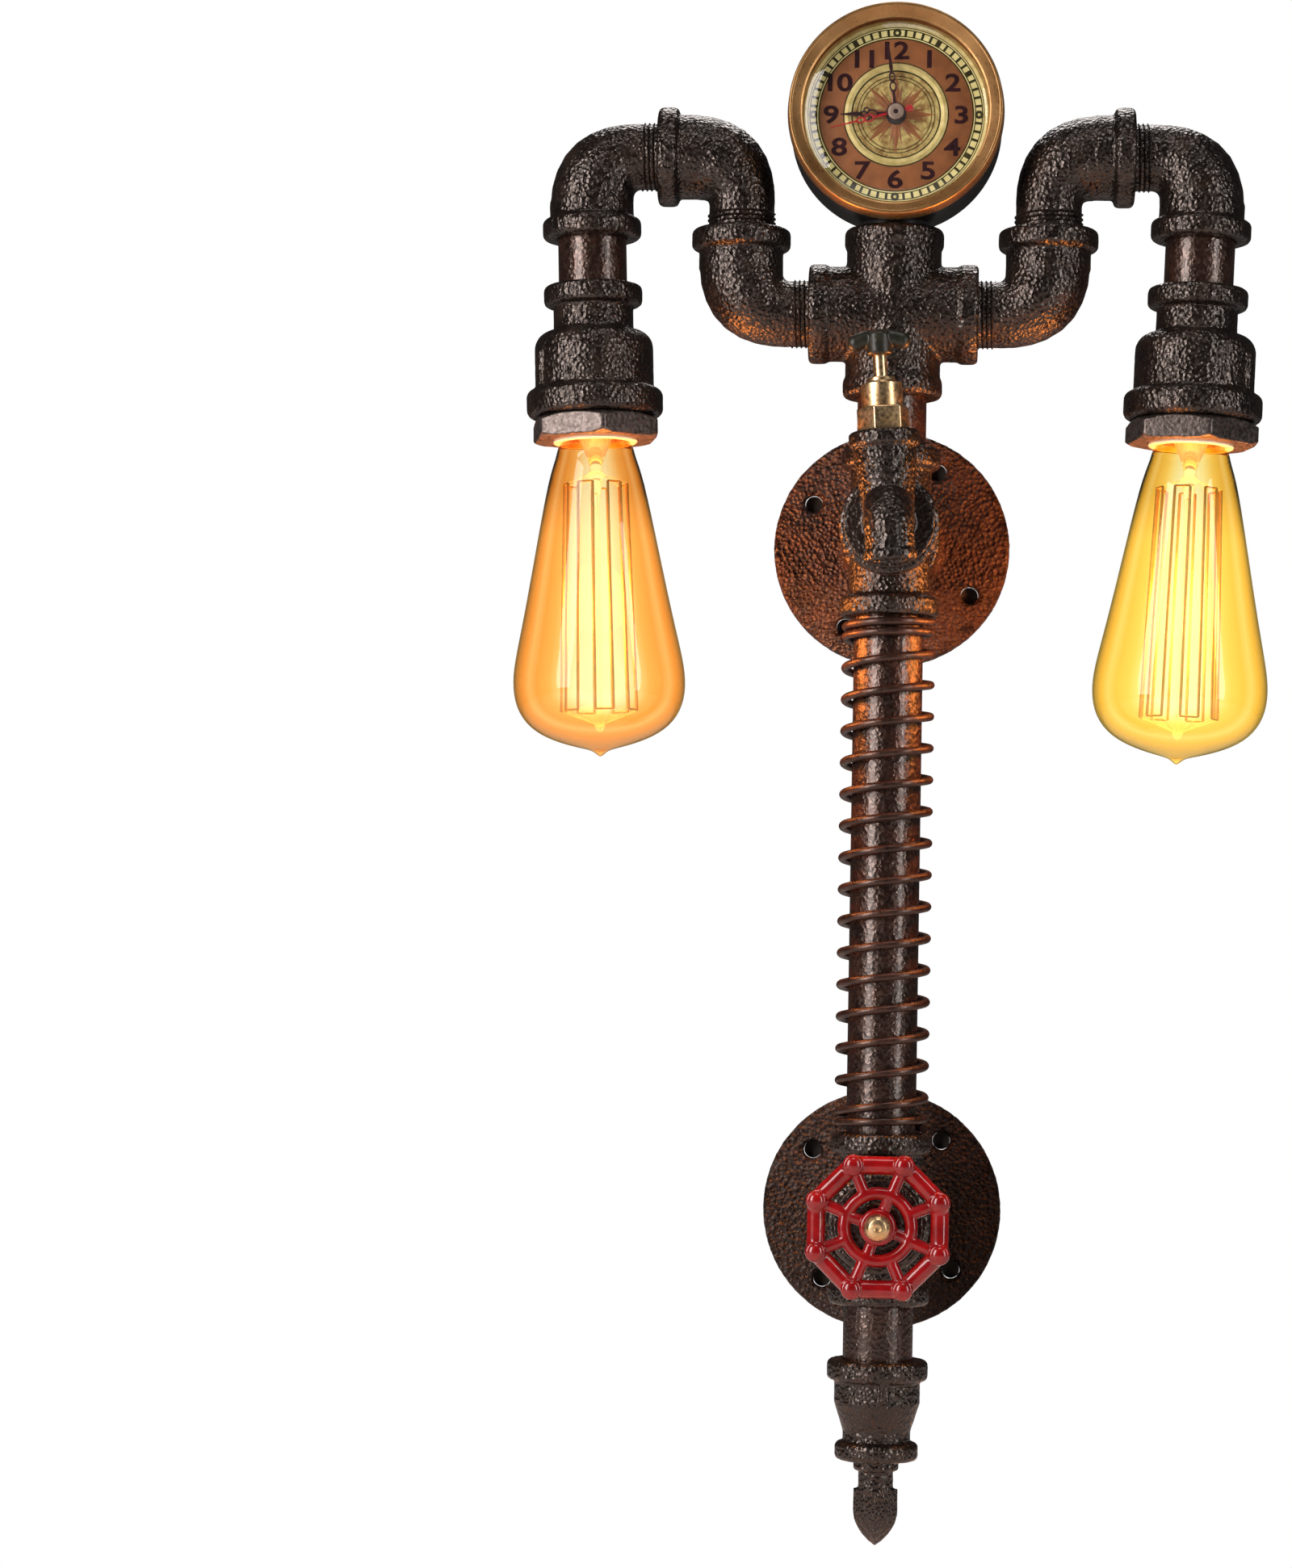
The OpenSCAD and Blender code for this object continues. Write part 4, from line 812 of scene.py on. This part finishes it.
for number in range(1, 13):
    spot = clock_turn(5 * number) @ Vector((0, numeral_r * mm, 0))
    shape = figure(9 if number == 6 else number)
    if number == 6:
        bmesh.ops.rotate(shape, cent=(0, 0, 0), matrix=Matrix.Rotation(math.pi, 3, "Z"), verts=shape.verts)
    settle(f"numeral_{number}", shape, dial_ink, "clock_dial",
           clock @ Matrix.Translation(spot) @ at(0, 0, dial_f + 0.08))
print("numerals 12")

# %% [markdown]
# ## The compass medallion
#
# Inside the gold ring lies a star of eight long and sixteen short points on a plain ground, with two fine rings round
# it. One point is two triangles that share a raised middle line, so that its flanks take the light differently. Copies
# turned round the centre make the star.

# %% Compass star
shape = lathe([(0, dial_f), (16.8, dial_f), (16.8, dial_f + 0.08), (0, dial_f + 0.08)], steps=96)
settle("medal_ground", shape, medal_gold, "clock_dial", clock)


def star(name, points, length, waist, turn, lift):
    """A star on the dial: the length and waist of a point and its lift off the plate in mm, its turn in points."""
    shape = bmesh.new()
    for k in range(points):
        tip = shape.verts.new((0, length * mm, 0))
        heart = shape.verts.new((0, 0, 0.5 * mm))
        left = shape.verts.new((-waist * mm, waist * 2.2 * mm, 0))
        right = shape.verts.new((waist * mm, waist * 2.2 * mm, 0))
        for corners in ((heart, right, tip), (heart, tip, left)):
            shape.faces.new(corners)
        bmesh.ops.rotate(shape, cent=(0, 0, 0), matrix=Matrix.Rotation(math.tau * (k + turn) / points, 3, "Z"),
                         verts=[tip, heart, left, right])
    settle(name, shape, dial_copper, "clock_dial", clock @ at(0, 0, dial_f + lift), sharp=10)


star("star_minor", 16, 12.5, 1.1, 0.5, 0.12)
star("star_major", 8, 15.6, 1.9, 0, 0.16)
for k, radius in enumerate((13.6, 14.9)):
    dial_ring(f"medal_line_{k}", radius, radius + 0.35, 0.14, olive_ink)
print("stars 2, rings 2")

# %% [markdown]
# ## The hands
#
# The hour and minute hands are dark pierced spades and the second hand is a red needle. A hand is a collet on the
# post, thin blades and rings between them. A blade is a flat outline that is extruded, and each ring is a small circle
# spun about its own centre. They stand at two minutes to nine and turn on the post, so each rides on its own body.

# %% Hands
hand_dark = mottled("hand_dark", (0.020, 0.006, 0.008), 0.3, (400, 2), (0.012, 0.004, 0.006), (0.032, 0.010, 0.012))
hand_red = mottled("hand_red", (0.32, 0.010, 0.014), 0.3, (400, 2), (0.26, 0.006, 0.010), (0.40, 0.016, 0.020))
collet = [(1.25, 0), (2.4, 0), (2.4, 1.3), (1.25, 1.3)]
blade_low, ring_mid = 0.35, 0.65


def blade(shape, half, low, high):
    """A flat plate between two heights from its (half width, distance from the post) points in mm."""
    outline = [(-half[0][0], half[0][1]), *half, *[(-x, y) for x, y in reversed(half[1:])]]
    face = shape.faces.new([shape.verts.new((x * mm, y * mm, low * mm)) for x, y in outline])
    top = bmesh.ops.extrude_face_region(shape, geom=[face])["geom"]
    bmesh.ops.translate(shape, vec=(0, 0, (high - low) * mm),
                        verts=[v for v in top if isinstance(v, bmesh.types.BMVert)])


def loop(shape, x, y, height, radius, wire, stretch):
    """A wire ring round (x, y), drawn out along the hand by stretch."""
    place = at(x, y, height)
    section = bmesh.ops.create_circle(shape, segments=8, radius=wire * mm, matrix=place @ at(radius, 0, 0) @ off_wall)
    verts = section["verts"]
    edges = list({edge for vert in verts for edge in vert.link_edges})
    before = set(shape.verts)
    bmesh.ops.spin(shape, geom=verts + edges, cent=place.translation, axis=(0, 0, 1), dvec=(0, 0, 0), angle=math.tau,
                   steps=20, use_merge=True)
    made = [v for v in shape.verts if v not in before] + verts
    bmesh.ops.scale(shape, vec=(1, stretch, 1), space=Matrix.Translation(-place.translation), verts=made)


def hand(name, node, finish, angle, foot, blade_high, blades, rings, wire):
    """A hand at an angle in degrees, its foot and its blade's top in mm, with (x, y, radius, stretch) rings."""
    shape = lathe([(r, h + foot) for r, h in collet], steps=40, soft=0.15, closed=True)
    for half in blades:
        blade(shape, half, foot + blade_low, foot + blade_high)
    for x, y, radius, stretch in rings:
        loop(shape, x, y, foot + ring_mid, radius, wire, stretch)
    bmesh.ops.recalc_face_normals(shape, faces=shape.faces)
    dress(name, shape, finish, node, clock @ turned(-angle, "Z"))


hour_f, minute_f, second_f = 27.7, 29.2, 30.7
hand("hour_spade", "hour_hand", hand_dark, 269, hour_f, 0.95,
     [[(0.8, 1.6), (0.55, 7.5)], [(0.5, 13.4), (0.9, 15.2), (0.12, 21.5)]],
     [(0, 9.2, 1.5, 1.25), (-1.5, 11.4, 1.0, 1), (1.5, 11.4, 1.0, 1), (0, 12.4, 0.9, 1.3)], 0.32)
hand("minute_spade", "minute_hand", hand_dark, 353, minute_f, 0.95,
     [[(0.7, 1.6), (0.45, 8.5)], [(0.4, 15.6), (0.75, 18), (0.10, 27)]],
     [(0, 10.2, 1.2, 1.45), (0, 14, 1.0, 1.7)], 0.3)
hand("second_needle", "second_hand", hand_red, 256, second_f, 0.9,
     [[(0.5, -6.5), (0.5, -1.6)], [(0.5, 1.6), (0.35, 9)], [(0.35, 15.4), (0.10, 26)]],
     [(0, 10.6, 1.4, 1.2), (0, 13.9, 1.0, 1.5), (0, -5.4, 1.2, 1)], 0.3)
print("hands 3")

# %% [markdown]
# ### The hub
#
# A small nickel cap with a dark pin in its middle and a dark washer under its rim covers the post. All three are
# turned, and they ride with the second hand, which lies on top.

# %% Hub
def hub_piece(name, profile, finish, **options):
    """A turned piece on the post from (radius, height above the second hand's foot) points in mm."""
    shape = lathe([(r, second_f + h) for r, h in profile], **options)
    settle(name, shape, finish, "second_hand", clock)


hub_nickel = mottled("hub_nickel", (0.62, 0.48, 0.38), 0.3, (400, 2), (0.34, 0.24, 0.18), (0.46, 0.35, 0.28),
                     Metallic=0.7)
hub_piece("hub_cap", [(0, 1.0), (3.1, 1.0), (3.1, 1.25), (2.2, 1.45), (1.0, 1.5), (0.8, 1.3), (0, 1.3)], hub_nickel,
          steps=48, soft=0.08)
hub_piece("hub_pin", [(0, 1.2), (0.9, 1.2), (0.9, 1.55), (0, 1.6)], hand_dark, steps=24)
hub_piece("hub_washer", [(2.9, 0.85), (3.6, 0.85), (3.6, 1.1), (2.9, 1.1)], hand_dark, steps=48, closed=True)
print("hub pieces 3")

# %% [markdown]
# ## The bulbs
#
# Each bulb is an old-style long drop with amber glass. Points of its outline on the lathe, a Solidify for the wall and
# a Subdivision Surface for the curve make it. Amber glass looks deeper at the rim, where the way through it is longer:
# Layer Weight gives the slant of the surface, and a ramp turns that into tint. A pale band in that ramp near the rim
# is a painted reflection. Below its neck the glass also has an even painted glow, which stands in for the filament's
# light in it. It casts no shadow, so the warm lamp inside reaches the pipes.

# %% Bulb glass
glow_sets_in = (0.017, -0.003)
glass_wall = 0.7


def amber_glass(name, core, colour, glow):
    """Amber glass, pale seen squarely and deeper at the rim; painted rim reflection, painted glow below the neck."""
    finish = new_finish(name, colour, 0.03, IOR=1.35, Transmission_Weight=1.0)
    nodes, links = finish.node_tree.nodes, finish.node_tree.links
    slant = nodes.new("ShaderNodeFloatCurve")
    for x in (0.03, 0.12, 0.3, 0.6):
        slant.mapping.curves[0].points.new(x, math.sqrt(2 * x - x * x))
    slant.mapping.update()
    links.new(nodes.new("ShaderNodeLayerWeight").outputs["Facing"], slant.inputs["Value"])
    # A pale band near the rim in the tint ramp is a painted reflection.
    painted_rim_reflection = [1 - (1 - c) * 0.48 for c in colour]
    tint(finish, slant.outputs["Value"], [(0.28, core), (0.60, colour), (0.74, [c * 0.94 for c in colour]),
                                          (0.83, painted_rim_reflection), (0.90, colour), (1.0, [c * 0.72 for c in colour])])
    # Painted glow: the glass emits below its neck, standing in for the filament's light in it.
    sockets_of(finish)["Emission Color"].default_value = (*glow, 1)
    lit = spread(finish, along(finish, "Z"), 0.005, 0.1, *glow_sets_in)
    links.new(lit, sockets_of(finish)["Emission Strength"])
    bump(finish, (noise(finish, 70, 1), 0.12))
    return finish


amber = {"left": amber_glass("amber_left", (0.99, 0.92, 0.66), (0.94, 0.52, 0.16), (1.0, 0.60, 0.18)),
         "right": amber_glass("amber_right", (0.99, 0.96, 0.66), (0.98, 0.70, 0.20), (1.0, 0.74, 0.18))}
outline = [(12.2, 103), (12.4, 111), (14.9, 115), (15.5, 119), (18.6, 127), (24.0, 155), (29.6, 184), (33.3, 200),
           (34.2, 210), (32.2, 219.5), (25.8, 227), (15.8, 231.4), (7.0, 233.6), (3.0, 234.6), (1.4, 236.2), (0, 237.0)]
for side in sides:
    shape = lathe(outline, steps=40)
    bulb = dress(side + "_amber_bulb", shape, amber[side], side + "_bulb_glass", leg[side], sharp=180)
    wall = bulb.modifiers.new("wall", "SOLIDIFY")
    wall.thickness = glass_wall * mm
    wall.offset = -1
    curve = bulb.modifiers.new("curve", "SUBSURF")
    curve.levels = curve.render_levels = 2
    bulb.visible_shadow = False
print("bulbs 2")

# %% [markdown]
# ### Stem and filament
#
# A glass stem stands on the cap and holds two crowns of thin wires, and the filament zigzags between the crowns in
# thirteen strands. Rods between points on two circles are enough for both. The strands glow only faintly, so that
# they show as lines against the bright glass. The stem glass has a faint painted glow, which stands in for the
# filament's light on it.

# %% Stems and filaments
# The stem's faint emission is a painted glow for the filament's light on it.
stem_glass = mottled("stem_glass", (0.99, 0.93, 0.78), 0.05, (200, 2), (0.97, 0.88, 0.70), (0.99, 0.95, 0.84),
                     IOR=1.45, Transmission_Weight=1.0, Emission_Color=(1.0, 0.85, 0.45, 1), Emission_Strength=0.2)
filament_glow = mottled("filament_glow", (0.14, 0.08, 0.025), 0.5, (150, 2), (0.11, 0.06, 0.018), (0.17, 0.10, 0.03),
                        Emission_Color=(1.0, 0.72, 0.16, 1), Emission_Strength=0.08)
top_w, end_w, top_r, end_r, strands = 130, 219, 12.4, 15.0, 13
support_r, strand_r, link_r = 0.22, 0.55, 0.42
stem = [(0, 105), (10.8, 105), (10.9, 106.5), (6.5, 112), (4, 118), (2.6, 122), (2.3, 124), (3.6, 126.5), (2.3, 129),
        (1.3, 139), (1.2, end_w + 2), (2.2, end_w + 6), (1.2, end_w + 8), (0, end_w + 8.5)]


def rod(shape, a, b, radius, flats=8):
    """A round rod between two points in mm."""
    a, b = Vector(a) * mm, Vector(b) * mm
    turn = (b - a).to_track_quat("Z", "Y").to_matrix().to_4x4()
    bmesh.ops.create_cone(shape, cap_ends=True, segments=flats, radius1=radius * mm, radius2=radius * mm,
                          depth=(b - a).length, matrix=Matrix.Translation((a + b) / 2) @ turn)


def crown_point(k, radius, w):
    """Where a strand meets the crown of a radius at a distance below the elbow."""
    angle = math.tau * (k + 0.3) / strands
    return radius * math.cos(angle), radius * math.sin(angle), w


for side in sides:
    shape = lathe(stem, steps=32)
    for k in range(strands):
        rod(shape, (0, 0, top_w - 5), crown_point(k, top_r, top_w), support_r, 6)
        rod(shape, (0, 0, end_w + 6), crown_point(k, end_r, end_w), support_r, 6)
    dress(side + "_glass_stem", shape, stem_glass, side + "_bulb_stem", leg[side])
    shape = bmesh.new()
    for k in range(strands):
        rod(shape, crown_point(k, top_r, top_w), crown_point(k, end_r, end_w), strand_r)
        if k < strands - 1:
            crown = (top_r, top_w) if k % 2 else (end_r, end_w)
            rod(shape, crown_point(k, *crown), crown_point(k + 1, *crown), link_r)
    dress(side + "_filament_cage", shape, filament_glow, side + "_bulb_filament", leg[side])
print("stems 2, filaments 2")

# %% [markdown]
# ### The light of the bulbs
#
# The glowing strands are too thin to light the pipes without much noise in the picture. A small warm lamp on the axis
# of each bulb does it, and gives the orange light on the iron near by. It is hidden like the soft boxes.

# %% Warm lamps
for side in sides:
    warm = bpy.data.lights.new(side + "_warm_lamp", "POINT")
    warm.energy = 2.5
    warm.color = (1.0, 0.32, 0.07)
    warm.shadow_soft_size = 0.016
    holder = put(side + "_warm_lamp", warm, leg[side] @ at(0, 0, 180))
    holder.visible_camera = holder.visible_transmission = False
print("warm lamps 2")

# %% [markdown]
# ## Porcelain and the pieces inside
#
# A cream porcelain lip shows under each hexagon ring. The brass shells, the caps, the movement, its battery and the
# switch keep the shape of their solids and only get their finish.

# %% Finishes of the plain nodes
porcelain = mottled("cream_porcelain", (0.80, 0.72, 0.58), 0.2, (120, 3), (0.74, 0.65, 0.50), (0.84, 0.77, 0.64),
                    Coat_Weight=0.4, Coat_Roughness=0.05)
black_plastic = mottled("black_plastic", (0.02, 0.02, 0.02), 0.5, (300, 2), (0.014, 0.014, 0.014),
                        (0.028, 0.028, 0.028))
bump(black_plastic, (noise(black_plastic, 1500, 2), 0.05))
cell_sleeve = mottled("cell_sleeve", (0.45, 0.24, 0.06), 0.35, (200, 2), (0.38, 0.19, 0.04), (0.52, 0.29, 0.08),
                      Metallic=0.5)
bright_steel = mottled("bright_steel", (0.50, 0.49, 0.47), 0.25, (200, 3, (1, 12, 1)), (0.42, 0.41, 0.39),
                       (0.58, 0.57, 0.55), Metallic=1.0)

plain = {"switch_body": black_plastic, "clock_movement": black_plastic, "clock_battery": cell_sleeve,
         "switch_spindle": bright_steel}
for side in sides:
    plain[side + "_lampholder"] = porcelain
    plain[side + "_lampholder_shell"] = brass
    plain[side + "_bulb_cap"] = brass
for node, finish in plain.items():
    frame["nodes"][node].data.materials[0] = finish
print("plain nodes", len(plain))
